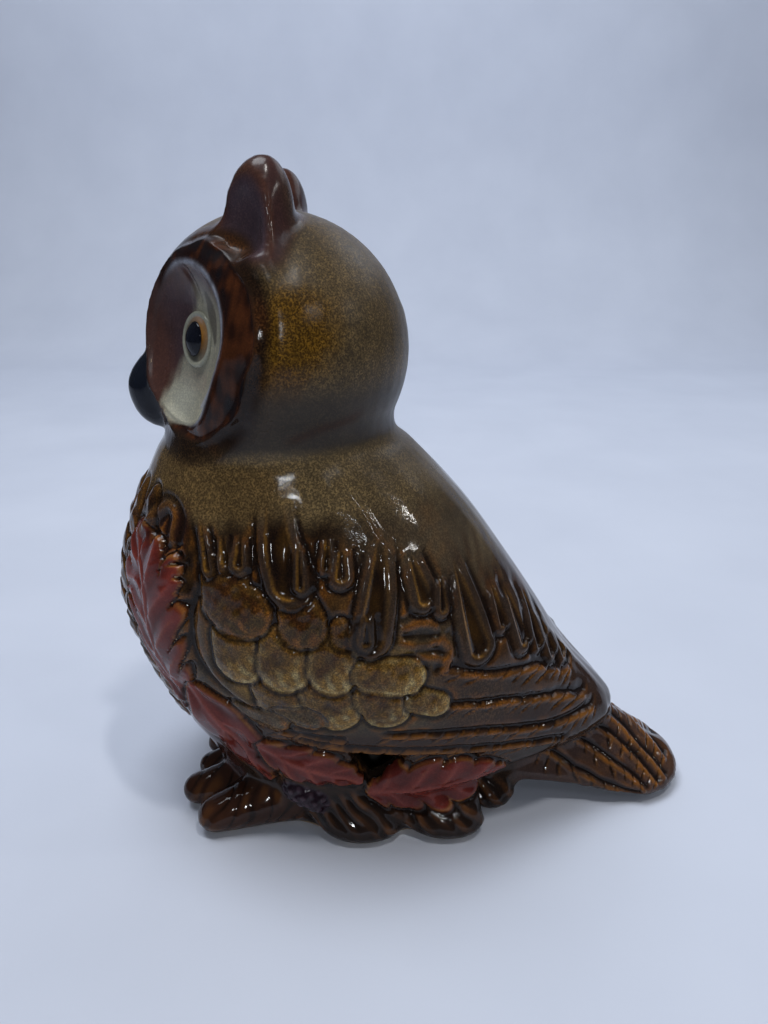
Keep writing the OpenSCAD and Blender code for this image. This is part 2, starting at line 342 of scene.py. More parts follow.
def glaze_material():
    """Reactive glaze: pooled and broken colours from the skin, with speckle and a glossy, rippled surface"""
    s = Shader("reactive_glaze")
    base = s.attribute("glaze").outputs["Color"]
    speckle_amount = s.attribute("speckle").outputs["Fac"]
    matt = s.attribute("matt").outputs["Fac"]
    fine = s.noise(1700, 2.0, 0.6)
    medium = s.noise(700, 4.0, 0.65)
    broad = s.noise(75, 3.0, 0.5)
    grains = s.remap(fine, 0.43, 0.58)
    clouds = s.remap(medium, 0.30, 0.62)
    pale = s.mix(1.0, base, (2.1, 1.85, 1.35), "MULTIPLY")
    deep = s.mix(1.0, base, (0.42, 0.37, 0.32), "MULTIPLY")
    speckled = s.mix(grains, deep, pale)
    clouded = s.mix(clouds, deep, speckled)
    mixed = s.mix(s.math("MULTIPLY", speckle_amount, 0.8), base, clouded)
    drift = s.remap(broad, 0.3, 0.7, 0.82, 1.2)
    grey = s.node("ShaderNodeCombineColor", Red=drift, Green=drift, Blue=drift).outputs[0]
    colour = s.mix(1.0, mixed, grey, "MULTIPLY")
    rough = s.remap(s.noise(260, 3.0, 0.6), 0.3, 0.75, 0.05, 0.13)
    s.set(Base_Color=colour, Roughness=s.math("ADD", rough, s.math("MULTIPLY", matt, 0.5)))
    s.set(IOR=1.31)
    ripple = s.bump(s.noise(110, 2.0, 0.5), 0.00018)
    s.set(Normal=s.bump(s.math("MULTIPLY", fine, speckle_amount), 0.00003, 1.0, ripple))
    return s.material


def paper_material():
    s = Shader("sweep_paper")
    tone = s.remap(s.noise(9, 3.0, 0.5), 0.3, 0.7)
    s.set(Base_Color=s.mix(tone, (0.60, 0.64, 0.74), (0.64, 0.68, 0.78)), Roughness=0.85)
    s.set(Normal=s.bump(s.noise(420, 3.0, 0.6), 0.00005))
    return s.material


# ---------------------------------------------------------------- the skin as one volume
def node_mesh(name):
    mesh = NODES[name].data
    points = np.empty(len(mesh.vertices) * 3, np.float32)
    mesh.vertices.foreach_get("co", points)
    mesh.calc_loop_triangles()
    corners = np.empty(len(mesh.loop_triangles) * 3, np.int32)
    mesh.loop_triangles.foreach_get("vertices", corners)
    return points.reshape(-1, 3) / MM, corners.reshape(-1, 3)


low = np.array(cad_box[0]) / MM - MARGIN
high = np.array(cad_box[1]) / MM + MARGIN
GRID_START = np.floor(low / VOXEL).astype(int)
GRID_SHAPE = tuple(int(n) for n in np.ceil(high / VOXEL).astype(int) - GRID_START + 1)
AXES = [(GRID_START[k] + np.arange(GRID_SHAPE[k])) * VOXEL for k in range(3)]
GX = AXES[0][:, None, None]
GY = AXES[1][None, :, None]
GZ = AXES[2][None, None, :]


def distance(name):
    """Signed distance to a CAD node on the shared grid of voxels"""
    points, corners = node_mesh(name)
    level = vdb.FloatGrid.createLevelSetFromPolygons(
        points, triangles=corners.astype(np.uint32),
        transform=vdb.createLinearTransform(VOXEL), halfWidth=BAND)
    dense = np.empty(GRID_SHAPE, np.float32)
    level.copyToArray(dense, ijk=tuple(int(n) for n in GRID_START))
    return dense


def smooth_min(a, b, width):
    """The nearer of two surfaces, with a fillet of about that width where they meet"""
    h = np.maximum(width - np.abs(a - b), 0) / width
    return np.minimum(a, b) - h * h * width / 4


def smooth_max(a, b, width):
    return -smooth_min(-a, -b, width)


def ellipsoid(centre, radii):
    parts = [((axis - centre[k]) / radii[k]) ** 2 for k, axis in enumerate((GX, GY, GZ))]
    return (np.sqrt(parts[0] + parts[1] + parts[2]) - 1) * min(radii)


def fill_across(solid):
    """Fills the hollow of a body whose sections are convex, along its width"""
    inside = solid < 0
    started = np.maximum.accumulate(inside, axis=0)
    ends = np.maximum.accumulate(inside[::-1], axis=0)[::-1]
    hollow = started & ends & ~inside & (GZ > FLOOR_TOP)
    solid[hollow] = -BAND * VOXEL
    return solid


def soften(field, passes):
    for _ in range(passes):
        for axis in range(3):
            back = np.roll(field, 1, axis)
            ahead = np.roll(field, -1, axis)
            field = 0.5 * field + 0.25 * (back + ahead)
    return field


# How widely each part's glaze flows into the parts before it, first of single parts, then of pairs
FLOW = {"head_shell": 11.0, "tail": 7.0, "beak": 1.6}
PAIR_FLOW = {"face_disc": 1.6, "ear": 4.0, "wing": 1.8, "foot": 4.0, "base_lobes": 6.0, "chest_leaf": 1.4,
             "lower_leaf": 1.4, "side_leaf_front": 1.2, "side_leaf_rear": 1.2, "acorn": 1.0}
SIDES = ("left", "right")
for pair, flow in PAIR_FLOW.items():
    for side_word in SIDES:
        FLOW[f"{pair}_{side_word}"] = flow

FIELDS = {name: distance(name) for name in ["body_shell", *FLOW]}


def fused_skin():
    skin = fill_across(FIELDS["body_shell"].copy())
    core = ellipsoid(HEAD_C, HEAD_R - WALL / 2)
    for side in (1, -1):
        out = DISC_OUT * (side, 1, 1)
        ahead = (GX * out[0] + (GY - HEAD_C[1]) * out[1] + (GZ - HEAD_C[2]) * out[2]) - DISC_SEAT - 2
        core = np.maximum(core, ahead)
    head = np.minimum(core, FIELDS["head_shell"]) - HEAD_SWELL
    skin = smooth_min(skin, head, FLOW["head_shell"])
    for name, width in FLOW.items():
        if name != "head_shell":
            skin = smooth_min(skin, FIELDS[name], width)
    for side in (1, -1):
        skin = smooth_min(skin, ellipsoid(EAR_TIP[0] * (side, 1, 1), EAR_TIP[1]), 3.0)
        hollow = ellipsoid(EAR_HOLLOW[0] * (side, 1, 1), EAR_HOLLOW[1])
        skin = smooth_max(skin, -np.maximum(hollow, EAR_FLOOR - GZ), 2.0)
    skin = smooth_min(skin, ellipsoid(*BEAK_BULGE), 2.0)
    skin = soften(skin, 1)
    slot = np.maximum(np.abs(GX) - SLOT_HALF[0], np.abs(GY - SLOT_Y) - SLOT_HALF[1])
    slot = np.maximum(slot, HEAD_C[2] + 5 - GZ)
    skin = smooth_max(skin, -slot, 1.2)
    hole = SIDE_HOLE_X - np.abs(GX)
    for k, (y, z) in enumerate(SIDE_HOLE):
        ahead_y, ahead_z = SIDE_HOLE[(k + 1) % len(SIDE_HOLE)]
        run, rise = ahead_y - y, ahead_z - z
        hole = np.maximum(hole, (rise * (GY - y) - run * (GZ - z)) / math.hypot(run, rise))
    skin = smooth_max(skin, -hole, 1.6)
    return skin.astype(np.float32)


def quads_of(field):
    grid = vdb.FloatGrid(BAND * VOXEL)
    grid.transform = vdb.createLinearTransform(VOXEL)
    grid.copyFromArray(field, ijk=tuple(int(n) for n in GRID_START))
    points, quads = grid.convertToQuads(0.0)
    return points.astype(np.float64), quads.astype(np.int64)


def islands(count, pairs):
    """Gives each of count things the lowest number that the pairs link it to"""
    label = np.arange(count)
    while True:
        new = label.copy()
        least = label[pairs].min(axis=1)
        for k in range(2):
            np.minimum.at(new, pairs[:, k], least)
        new = new[new]
        if np.array_equal(new, label):
            return label
        label = new


def largest_part(points, quads):
    """Keeps the biggest connected surface"""
    label = islands(len(points), quad_edges(quads)[0])
    names, counts = np.unique(label[quads[:, 0]], return_counts=True)
    keep = label[quads[:, 0]] == names[counts.argmax()]
    quads = quads[keep]
    used = np.unique(quads)
    index = np.full(len(points), -1)
    index[used] = np.arange(len(used))
    return points[used], index[quads]


def gather(index, values, count):
    """Sums rows of values into the places that index names"""
    return np.stack([np.bincount(index, values[:, k], count) for k in range(values.shape[1])], axis=1)


def quad_edges(quads):
    pairs = np.stack([quads, np.roll(quads, -1, axis=1)], axis=2).reshape(-1, 2)
    pairs.sort(axis=1)
    top = int(pairs.max()) + 1
    keys, where = np.unique(pairs[:, 0] * top + pairs[:, 1], return_inverse=True)
    return np.stack([keys // top, keys % top], axis=1), where.reshape(-1, 4)


def subdivide(points, quads):
    """One Catmull-Clark step. Returns new points and quads, and each old edge's new point"""
    n = len(points)
    edges, face_edges = quad_edges(quads)
    face_points = points[quads].mean(axis=1)
    shares = np.bincount(face_edges.ravel(), minlength=len(edges))
    face_sum = gather(face_edges.ravel(), np.repeat(face_points, 4, axis=0), len(edges))
    middles = points[edges].mean(axis=1)
    edge_points = 0.5 * middles + 0.5 * face_sum / shares[:, None]
    edge_points[shares != 2] = middles[shares != 2]
    valence = np.bincount(quads.ravel(), minlength=n)[:, None]
    around = gather(quads.ravel(), np.repeat(face_points, 4, axis=0), n) / valence
    ends = edges.ravel()
    edge_mean = gather(ends, np.repeat(middles, 2, axis=0), n) / np.bincount(ends, minlength=n)[:, None]
    moved = (around + 2 * edge_mean + (valence - 3) * points) / valence
    all_points = np.concatenate([moved, edge_points, face_points])
    e = face_edges + n
    centre = np.arange(len(quads)) + n + len(edges)
    fine = np.stack([np.stack([quads[:, k], e[:, k], centre, e[:, k - 1]], axis=1) for k in range(4)], axis=1)
    return all_points, fine.reshape(-1, 4), edges, face_edges


def point_normals(points, quads):
    a, b, c, d = (points[quads[:, k]] for k in range(4))
    face = np.cross(c - a, d - b)
    total = gather(quads.ravel(), np.repeat(face, 4, axis=0), len(points))
    return total / np.maximum(np.linalg.norm(total, axis=1), 1e-12)[:, None]


def relax(points, quads, rounds, amount=0.5):
    """Evens out the steps that the voxels leave"""
    edges, _ = quad_edges(quads)
    count = np.bincount(edges.ravel(), minlength=len(points))[:, None]
    for _ in range(rounds):
        other = np.concatenate([points[edges[:, 1]], points[edges[:, 0]]])
        mean = gather(np.concatenate([edges[:, 0], edges[:, 1]]), other, len(points)) / count
        points = points + amount * (mean - points)
    return points


def sample(field, points):
    """Reads a field of the grid at any points"""
    at = points / VOXEL - GRID_START
    base = np.clip(np.floor(at).astype(int), 0, np.array(GRID_SHAPE) - 2)
    part = at - base
    total = 0
    for dx in (0, 1):
        for dy in (0, 1):
            for dz in (0, 1):
                weight = (np.abs(1 - dx - part[:, 0]) * np.abs(1 - dy - part[:, 1])
                          * np.abs(1 - dz - part[:, 2]))
                total = total + weight * field[base[:, 0] + dx, base[:, 1] + dy, base[:, 2] + dz]
    return total


def pair_distance(name, points):
    """Distance to the nearer one of a left and a right node"""
    return np.minimum(*(sample(FIELDS[f"{name}_{side}"], points) for side in SIDES))


# ---------------------------------------------------------------- drawing on the skin
# All lengths are in millimetres: y from front to back, z up, and x as the distance from the middle
# plane, so that both sides are drawn at once
def unit(value):
    return np.clip(value, 0, 1)


def ramp(value, low, high):
    """0 at low, 1 at high, with soft ends"""
    t = unit((value - low) / (high - low))
    return t * t * (3 - 2 * t)


def ridge(value, width):
    return np.exp(-(value / width) ** 2)


# Half width of a thin line
HAIRLINE = 0.2


def thin(path):
    """A path of even, thin width through points that have none of their own"""
    return [(*point, HAIRLINE) for point in path]


def smooth_path(path, steps=5):
    """A curve through a few given points of any size"""
    p = np.array(path, float)
    p = np.concatenate([[2 * p[0] - p[1]], p, [2 * p[-1] - p[-2]]])
    out = []
    for i in range(1, len(p) - 2):
        a, b, c, d = p[i - 1:i + 3]
        for k in range(steps):
            t = k / steps
            out.append(b + 0.5 * t * (c - a + t * (2 * a - 5 * b + 4 * c - d + t * (3 * (b - c) + d - a))))
    out.append(p[-2])
    return np.array(out)


def stroke(u, v, path):
    """For a tapered stroke through (u, v, radius) points: the signed distance to its edge, how far
    along it a point is, from 0 to 1, and on which side of its middle line"""
    points = smooth_path(path)
    pieces = len(points) - 1
    best = np.full(u.shape, 1e3)
    along = np.zeros(u.shape)
    side = np.zeros(u.shape)
    for i in range(pieces):
        (au, av, ar), (bu, bv, br) = points[i], points[i + 1]
        du, dv = bu - au, bv - av
        t = unit(((u - au) * du + (v - av) * dv) / (du * du + dv * dv))
        off_u, off_v = u - au - t * du, v - av - t * dv
        gap = np.hypot(off_u, off_v) - (ar + t * (br - ar))
        nearer = gap < best
        best = np.where(nearer, gap, best)
        along = np.where(nearer, (i + t) / pieces, along)
        side = np.where(nearer, (du * off_v - dv * off_u) / math.hypot(du, dv), side)
    return best, along, side


# Distance round the breast from its middle: the turn about an upright axis, in millimetres
BREAST_RADII = (52, 72)
BREAST_Y = -30
MM_PER_DEGREE = 1.12
EVERYWHERE = slice(None)


class Skin:
    """The glazed surface, with what is drawn on it: relief height, colour, speckle, dullness, and how
    far edges break to a bright tone. A stroke only reaches the points that are open to draw"""

    def __init__(self, points, normals):
        self.p = points
        self.n = normals
        self.x = np.abs(points[:, 0])
        self.y = points[:, 1]
        self.z = points[:, 2]
        self.height = np.zeros(len(points))
        self.shift = np.zeros((len(points), 3))
        self.colour = np.tile(np.array(OLIVE), (len(points), 1))
        self.speckle = np.ones(len(points))
        self.matt = np.zeros(len(points))
        self.breaks = np.zeros(len(points))
        self.open_to_draw = np.ones(len(points), bool)
        self.folded = np.stack([self.x, self.y, self.z], axis=1)
        ones = np.ones(len(points))
        self.flip = np.stack([np.sign(points[:, 0]), ones, ones], axis=1)
        turn = np.arctan2(self.x / BREAST_RADII[0], (BREAST_Y - self.y) / BREAST_RADII[1])
        self.front = np.degrees(turn) * MM_PER_DEGREE

    def paint(self, amount, colour, rows=EVERYWHERE):
        a = amount[:, None]
        self.colour[rows] = self.colour[rows] * (1 - a) + a * np.array(colour)

    def near(self, u, v, path, margin=6.0):
        p = np.array(path, float)
        reach = p[:, 2].max() + margin
        inside = ((u > p[:, 0].min() - reach) & (u < p[:, 0].max() + reach)
                  & (v > p[:, 1].min() - reach) & (v < p[:, 1].max() + reach))
        return np.nonzero(inside & self.open_to_draw)[0]

    def trace(self, u, v, path, margin=6.0):
        """The points near a stroke, each with its distance, place along and side"""
        rows = self.near(u, v, path, margin)
        return rows, *stroke(u[rows], v[rows], path)


def waves(skin, rows, scale, seed):
    """Slow random variation over the surface, from -1 to 1"""
    p = skin.p[rows] / scale
    total = np.zeros(len(p))
    rng = np.random.default_rng(seed)
    for _ in range(5):
        direction = rng.normal(size=3)
        total += np.sin(p @ direction * 1.6 + rng.uniform(0, 6.28))
    return total / 3.2


def blend(values, rows, cover, inside):
    """Puts a value in place of what was there, as far as cover says"""
    values[rows] = values[rows] * (1 - cover) + inside * cover


def carve(skin, rows, gap, width, depth, amount=1.0):
    """Cuts a rounded groove. Grooves that cross do not add up"""
    before = skin.height[rows]
    after = before - depth * ridge(gap, width) * amount
    skin.height[rows] = np.maximum(after, np.minimum(before, -0.9))


def tongue(skin, path, inner=DARK, fade=0.35, lift=0.75):
    """A drip-shaped shoulder feather: a broad soft rim, a thin bright line in it and a dark hollow"""
    rows, sd, t, side = skin.trace(skin.y, skin.z, path)
    width = min(1.8, 0.40 * np.array(path)[:, 2].max())
    shown = ramp(t, 0.0, fade)
    cover = ramp(sd, 0.8, -0.6) * shown
    hollow = ramp(sd, -0.9 * width, -2.2 * width)
    blend(skin.height, rows, cover, lift - (lift + 0.25) * hollow)
    carve(skin, rows, sd - 1.3, 0.9, 0.6, (1 - cover) * shown)
    drift = 0.5 + 0.5 * waves(skin, rows, 4, 5)
    left = 0.3 + 0.7 * ramp(side, 1.0, -1.0)
    skin.paint(ridge(sd - 1.2, 1.1) * shown * 0.85, DARK, rows)
    skin.paint(cover * (1 - hollow) * 0.85, SMOKE, rows)
    skin.paint(cover * hollow, inner, rows)
    skin.paint(cover * hollow * unit(drift - 0.45) * 0.5, HONEY, rows)
    skin.breaks[rows] *= 1 - 0.85 * cover
    skin.paint(cover * ridge(sd + 1.35 * width, 0.16 * width + 0.08) * left * unit(drift + 0.2), LINE, rows)
    blend(skin.speckle, rows, cover, 0.5)


def scale(skin, u, path, inner=MOTTLE, line=CREAM_GLAZE, lift=1.0, dark=0.75):
    """A rounded covert feather, domed, with painted shade on its upper front part and a pale broken edge
    below and behind
    """
    rows, sd, _, _ = skin.trace(u, skin.z, path)
    y, z = u[rows], skin.z[rows]
    end = path[-1]
    cover = ramp(sd, 0.4, -0.5)
    dome = lift * (1 - np.exp(np.minimum(sd, 0) / 1.4)) + 0.5 * ramp(sd, -1.5, -6.5)
    pits = 0.45 * ridge(np.hypot(y - end[0] + 1.5, z - end[1] - 2.5), 2.2)
    blend(skin.height, rows, cover, dome - pits + 0.18 * waves(skin, rows, 2.2, 13))
    carve(skin, rows, sd - 0.7, 0.75, 0.65, 1 - cover)
    below = ramp(0.55 * (y - end[0]) - 0.85 * (z - end[1]), -0.35 * end[2], 0.35 * end[2])
    coarse = waves(skin, rows, 2.8, 11)
    fine = waves(skin, rows, 1.3, 12)
    skin.paint(ridge(sd - 0.7, 0.7) * 0.75, DARK, rows)
    skin.paint(cover * 0.95, inner, rows)
    # painted shade on the upper front part
    skin.paint(cover * (1 - below) * dark, COVERT_PAINTED_SHADE, rows)
    mottled = ramp(sd, -1.2, -3.2) * unit(0.25 + 1.1 * coarse + 0.4 * fine - 0.3 * below)
    skin.paint(cover * mottled * dark, RUST, rows)
    skin.paint(cover * unit(0.1 + 1.1 * fine) * (0.10 + 0.60 * below), line, rows)
    skin.paint(cover * pits * unit(1 + coarse) * dark, RUST, rows)
    skin.breaks[rows] *= 1 - 0.7 * cover
    skin.paint(cover * ridge(sd + 0.9, 0.5) * (0.25 + 0.65 * below) * unit(0.8 + 0.5 * fine), line, rows)
    blend(skin.speckle, rows, cover, 0.9)


def barbs(skin, rows, along, below, depth, reach, slope, seed):
    """Short slanting cuts with a bright edge, unevenly spaced and of uneven length"""
    warp = waves(skin, rows, 11, seed)
    phase = (along + slope * below) / 5.6 + 0.6 * warp
    length = reach * (0.55 + 0.6 * np.abs(np.sin(2.4 * np.round(phase) + seed)))
    within = ramp(below, 0.3, 0.9) * ramp(below, length, 0.6 * length)
    gap = (phase - np.round(phase)) * 5.6
    skin.height[rows] -= depth * ridge(gap, 0.55) * within
    skin.paint(ridge(gap, 0.6) * within * 0.8, DARK, rows)
    skin.paint(ridge(gap - 0.9, 0.45) * within * 0.6, AMBER, rows)


def vane(skin, v, path, seed, bright=0.9, reach=6.0, slope=1.0):
    """The parting above a long feather: a dark groove with a broken bright ridge under it"""
    path = thin(path)
    rows, _, t, side = skin.trace(skin.y, v, path, 11.0)
    length = np.hypot(*(np.array(path)[-1, :2] - np.array(path)[0, :2]))
    ends = ramp(t, 0.0, 0.07) * ramp(t, 1.0, 0.97)
    beyond = (t <= 0) | (t >= 1)
    below = np.where(beyond, 99.0, -side)
    drift = waves(skin, rows, 5, seed + 60)
    wobble = below + 0.35 * drift
    groove = ridge(np.where(wobble < 0, wobble * 0.7, wobble), 0.85) * ends
    crest = ridge(wobble - 2.1, 0.85) * ends
    skin.height[rows] = np.maximum(skin.height[rows] - 1.0 * groove, -1.0) + 0.55 * crest
    barbs(skin, rows, t * length, np.where(beyond, 99.0, below), 0.5, reach, slope, seed)
    skin.paint(groove, INK, rows)
    skin.paint(crest * unit(0.65 + 0.6 * drift) * bright, AMBER, rows)


def leaf(skin, u, path, lobes, lift=0.7, skew=0.9, depth=0.34, flesh=RED):
    """A lobed autumn leaf with a soft midrib and veins, drawn in (u, height) along its midrib"""
    rows = skin.near(u, skin.z, path)
    far, t, side = stroke(u[rows], skin.z[rows], [(a, b, 0.01) for a, b, _ in path])
    radius = smooth_path(path)[:, 2]
    half = np.interp(t, np.linspace(0, 1, len(radius)), radius)
    across = np.abs(side)
    beyond = np.sqrt(np.maximum(far ** 2 - across ** 2, 0))
    share = across / np.maximum(half, 0.1)
    drift = waves(skin, rows, 7, 21)
    phase = lobes * t - skew * share + 0.08 * np.sign(side) + 0.10 * drift
    bump = np.abs(np.sin(np.pi * phase)) ** 0.4
    edge = half * (1 - depth + depth * bump) - across - 1.5 * beyond
    cover = ramp(edge, -0.4, 0.6)
    step = np.hypot(*(np.array(path)[-1, :2] - np.array(path)[0, :2])) / lobes
    vein_off = (phase - np.floor(phase) - 0.5) * step
    vein = ridge(vein_off, 0.8) * ramp(edge, 0.2, 2.0) * ramp(share, 1.0, 0.5)
    rib = ridge(across, 1.2 - 0.4 * t) * cover
    fold = 0.5 - 0.5 * np.cos(2 * np.pi * phase)
    inside = lift * ramp(edge, -0.2, 1.6) + 0.25 * vein + 0.45 * rib + 0.5 * fold * ramp(across, 0.5, 3)
    blend(skin.height, rows, cover, inside)
    carve(skin, rows, edge + 1.0, 0.9, 0.8, 1 - cover)
    shade = unit(0.5 + 0.5 * drift)
    skin.paint(ridge(edge + 1.2, 1.4) * 0.9, DARK, rows)
    skin.paint(cover, flesh, rows)
    skin.paint(cover * (1 - fold) * ramp(across, 1, 4) * 0.6, WINE, rows)
    skin.paint(cover * np.maximum(vein * 0.45, rib * 0.6), ROSE, rows)
    skin.paint(cover * ridge(edge - 0.5, 0.55) * (0.1 + 0.7 * shade), OCHRE, rows)
    skin.breaks[rows] *= 1 - 0.75 * cover
    blend(skin.speckle, rows, cover, 0.25)


def line_relief(skin, path, height=0.8, dark=0.8):
    """A raised curl with a bright edge and a dark hollow beside it"""
    rows, sd, t, _ = skin.trace(skin.y, skin.z, path)
    ends = ramp(t, 0, 0.1) * ramp(t, 1, 0.9)
    skin.height[rows] += (height * ridge(sd, 1.1) - 0.5 * ridge(sd - 2.4, 1.3)) * ends
    skin.paint(ridge(sd - 2.4, 1.6) * ends * dark, DARK, rows)
    skin.paint(ridge(sd, 0.7) * ends * 0.8, CURL, rows)


def wing_edge(skin):
    """The wing's rounded front edge, above a dark channel"""
    rows, _, t, side = skin.trace(skin.y, skin.z, thin(WING_EDGE), 9.0)
    ends = ramp(t, 0, 0.15) * ramp(t, 1, 0.85)
    within = (t > 0) & (t < 1)
    skin.height[rows] += (0.9 * ridge(side - 2.2, 2.2) - 1.0 * ridge(side + 1.2, 1.3)) * ends * within
    skin.paint(ridge(side - 2.0, 2.4) * ends * within * 0.8, WING_FRONT, rows)
    skin.paint(ridge(side - 0.7, 0.6) * ends * within * 0.5, WING_CREST, rows)
    skin.paint(ridge(side + 1.4, 1.6) * ends * within * 0.9, DARK, rows)


def ripple_colour(skin, edges):
    """Thin glaze breaks to a bright tone on every edge and pools dark in every hollow"""
    count = np.bincount(edges.ravel(), minlength=len(skin.height))
    blurred = skin.height
    for _ in range(8):
        total = np.bincount(edges[:, 0], blurred[edges[:, 1]], len(blurred))
        total += np.bincount(edges[:, 1], blurred[edges[:, 0]], len(blurred))
        blurred = 0.4 * blurred + 0.6 * total / count
    stands = skin.height - blurred
    patchy = unit(0.35 + 0.8 * waves(skin, EVERYWHERE, 3.2, 91))
    skin.paint(unit(stands / 0.20) * patchy * skin.breaks, ORANGE)
    skin.paint(unit(-stands / 0.20) * 0.8 * ramp(skin.breaks, 0, 0.4), DARK)


# Shoulder feathers: (y, z, radius) from the root down to the rounded end
TONGUES = [
    [(-69.5, 124, 1.4), (-67.0, 110, 2.2)], [(-62, 121, 2.0), (-61, 113, 2.4)],
    [(-56, 122, 2.0), (-56.5, 113, 2.8)],
    [(-46, 132, 4.6), (-44.0, 118, 6.4), (-41, 108.5, 7.4)],
    [(-29.5, 121, 1.6), (-29.5, 113, 2.2)], [(-25.0, 118, 2.6), (-25, 110.0, 3.6)],
    [(-13, 120, 3.2), (-13.8, 104, 5.6), (-16, 90.5, 6.4)],
    [(-4, 113, 2.8), (1, 100, 4.4)], [(6.3, 105, 1.8), (7, 95.5, 2.6)],
    [(10, 110, 2.2), (15.5, 93, 4.4), (19.5, 80.5, 5.6)],
    [(24, 97, 1.6), (28.5, 84, 2.7)], [(29.5, 94, 2.0), (37, 75.5, 3.6)],
    [(38, 88, 1.4), (43.5, 71, 2.4)], [(43, 81, 1.6), (49.5, 65, 2.6)], [(50, 73, 1.2), (55, 61, 2.0)],
]
INNER_TONGUES = [[(-38.0, 121, 1.3), (-37.4, 107.5, 2.3)], [(-17.0, 99, 1.6), (-17.5, 89.5, 2.6)]]
# The fold where the wing meets the shoulder: (y, z)
SHOULDER_FOLD = [(-28, 138), (-19, 127), (-12, 117), (-3, 111)]

# Covert feathers, lower rows first: (y, z, radius)
SCALES_LOW = [[(-47, 72, 8.0), (-44, 64, 8.6)], [(-31, 72, 8.0), (-28, 64, 8.8)],
              [(-14, 70, 7.6), (-11, 64.5, 8.2)], [(0, 66, 5.0), (5, 64, 4.8)]]
SCALES_MID = [[(-59.5, 88, 7.6), (-58.5, 80.5, 8.2)], [(-43.5, 88, 7.6), (-43.5, 80, 8.4)],
              [(-28, 88, 7.4), (-27.5, 80, 8.4)], [(-16, 78, 6.0), (-5, 76, 6.6)]]
SCALES_TOP = [[(-62, 107, 8.4), (-60, 100, 9.2), (-55, 98.5, 8.6)], [(-38.5, 101, 6.4), (-36.8, 95.5, 7.6)],
              [(-25.5, 95, 2.8), (-24.5, 91, 3.4)]]

# Small feathers under the coverts, and the ridges behind them: (y, z, radius)
LOW_TIPS = [[(-46, 62, 2.5), (-40, 60.5, 4.4), (-35.5, 59.5, 4.6)],
            [(-62, 59.5, 2.2), (-55, 57.5, 4.2), (-48, 56, 4.8)]]
RIDGES = [[(-7, 92.0, 0.2), (0, 93.0, 0.5), (6, 90.5, 0.2)],
          [(-8, 88.5, 0.2), (-2, 86.0, 0.4), (7, 85.5, 0.2)],
          [(-3, 82.5, 0.2), (3, 81.5, 0.4), (8, 79.0, 0.2)],
          [(6, 88, 0.2), (9, 82, 0.4), (7, 74, 0.2)]]

# The partings between the flight feathers, from the top one down: (y, z)
VANES = [
    [(8, 78), (20, 72.5), (40, 67), (50, 62), (59, 56.5)],
    [(-2, 64), (12, 63), (29, 60), (40, 57), (50, 54), (65, 47.5)],
    [(-14, 53.5), (0, 52.5), (21, 50.5), (40, 46.5), (55, 44.5), (68, 42.5)],
    [(-44, 50), (-30, 46.5), (-12, 44.5), (12, 42.5), (36, 40), (56, 37)],
    [(-60, 60), (-50, 53.5), (-38, 51), (-24, 50.5)],
]

# Leaves: the midrib from stalk to tip, with the half width along it
CHEST_LEAF = [(57, 53, 4), (50, 60, 9), (46.5, 72, 13), (45.5, 86, 15.5), (43.5, 99, 18), (37.5, 108, 14),
              (32, 117, 4)]
LOWER_LEAF = [(-77, 63, 4), (-70, 52, 10), (-62.5, 41, 9.5), (-57, 31, 6.5), (-53, 23, 2)]
FRONT_SIDE_LEAF = [(-54, 41, 4), (-44, 36.5, 8), (-35, 33.5, 8.5), (-27, 30.5, 6.5), (-20.5, 27, 2.5)]
REAR_SIDE_LEAF = [(-17, 22, 3), (-6, 23, 11), (9, 25, 12.5), (22, 27, 9), (31, 28, 2.5)]

# The wing's front edge, from the shoulder down and back: (y, z). The loop beside the neck: (y, z, half width)
WING_EDGE = [(-64, 114), (-68, 105.7), (-72.4, 94), (-72.6, 81), (-69.5, 73),
             (-64, 67.4), (-55.9, 62.2), (-42.7, 57), (-30, 53.5)]
NECK_LOOP = [(-95, 112, 0.2), (-88, 121, 0.3), (-82, 126, 0.3), (-78.8, 123.5, 0.3), (-80, 117, 0.2),
             (-79.5, 113, 0.2)]

# Breast feathers between the leaves: rows from the lowest up
BREAST_ROWS = 8
BREAST_LOW = 44
BREAST_STEP = 10.5
BREAST_WIDTH = 14

# The tail's partings, by distance back and by height less a third of the distance from the middle
TAIL_UP = 0.943
TAIL_ASIDE = 0.334
TAIL_VANES = [
    [(60, 43), (80, 32.5), (93, 19.5), (103, 7)],
    [(62, 36), (78.7, 25.7), (90.1, 13.7), (100.6, 1.5)],
    [(60, 29.5), (76, 20.3), (84.4, 13.4), (90.8, 6.1), (96, -0.2)],
    [(56, 23), (66, 17.3), (74.8, 10.9), (83.7, 5.0), (91, -1.5)],
    [(47, 17.5), (54, 13), (61.8, 7.8), (71.5, 2.7), (81, -1.5), (88, -4.6)],
]


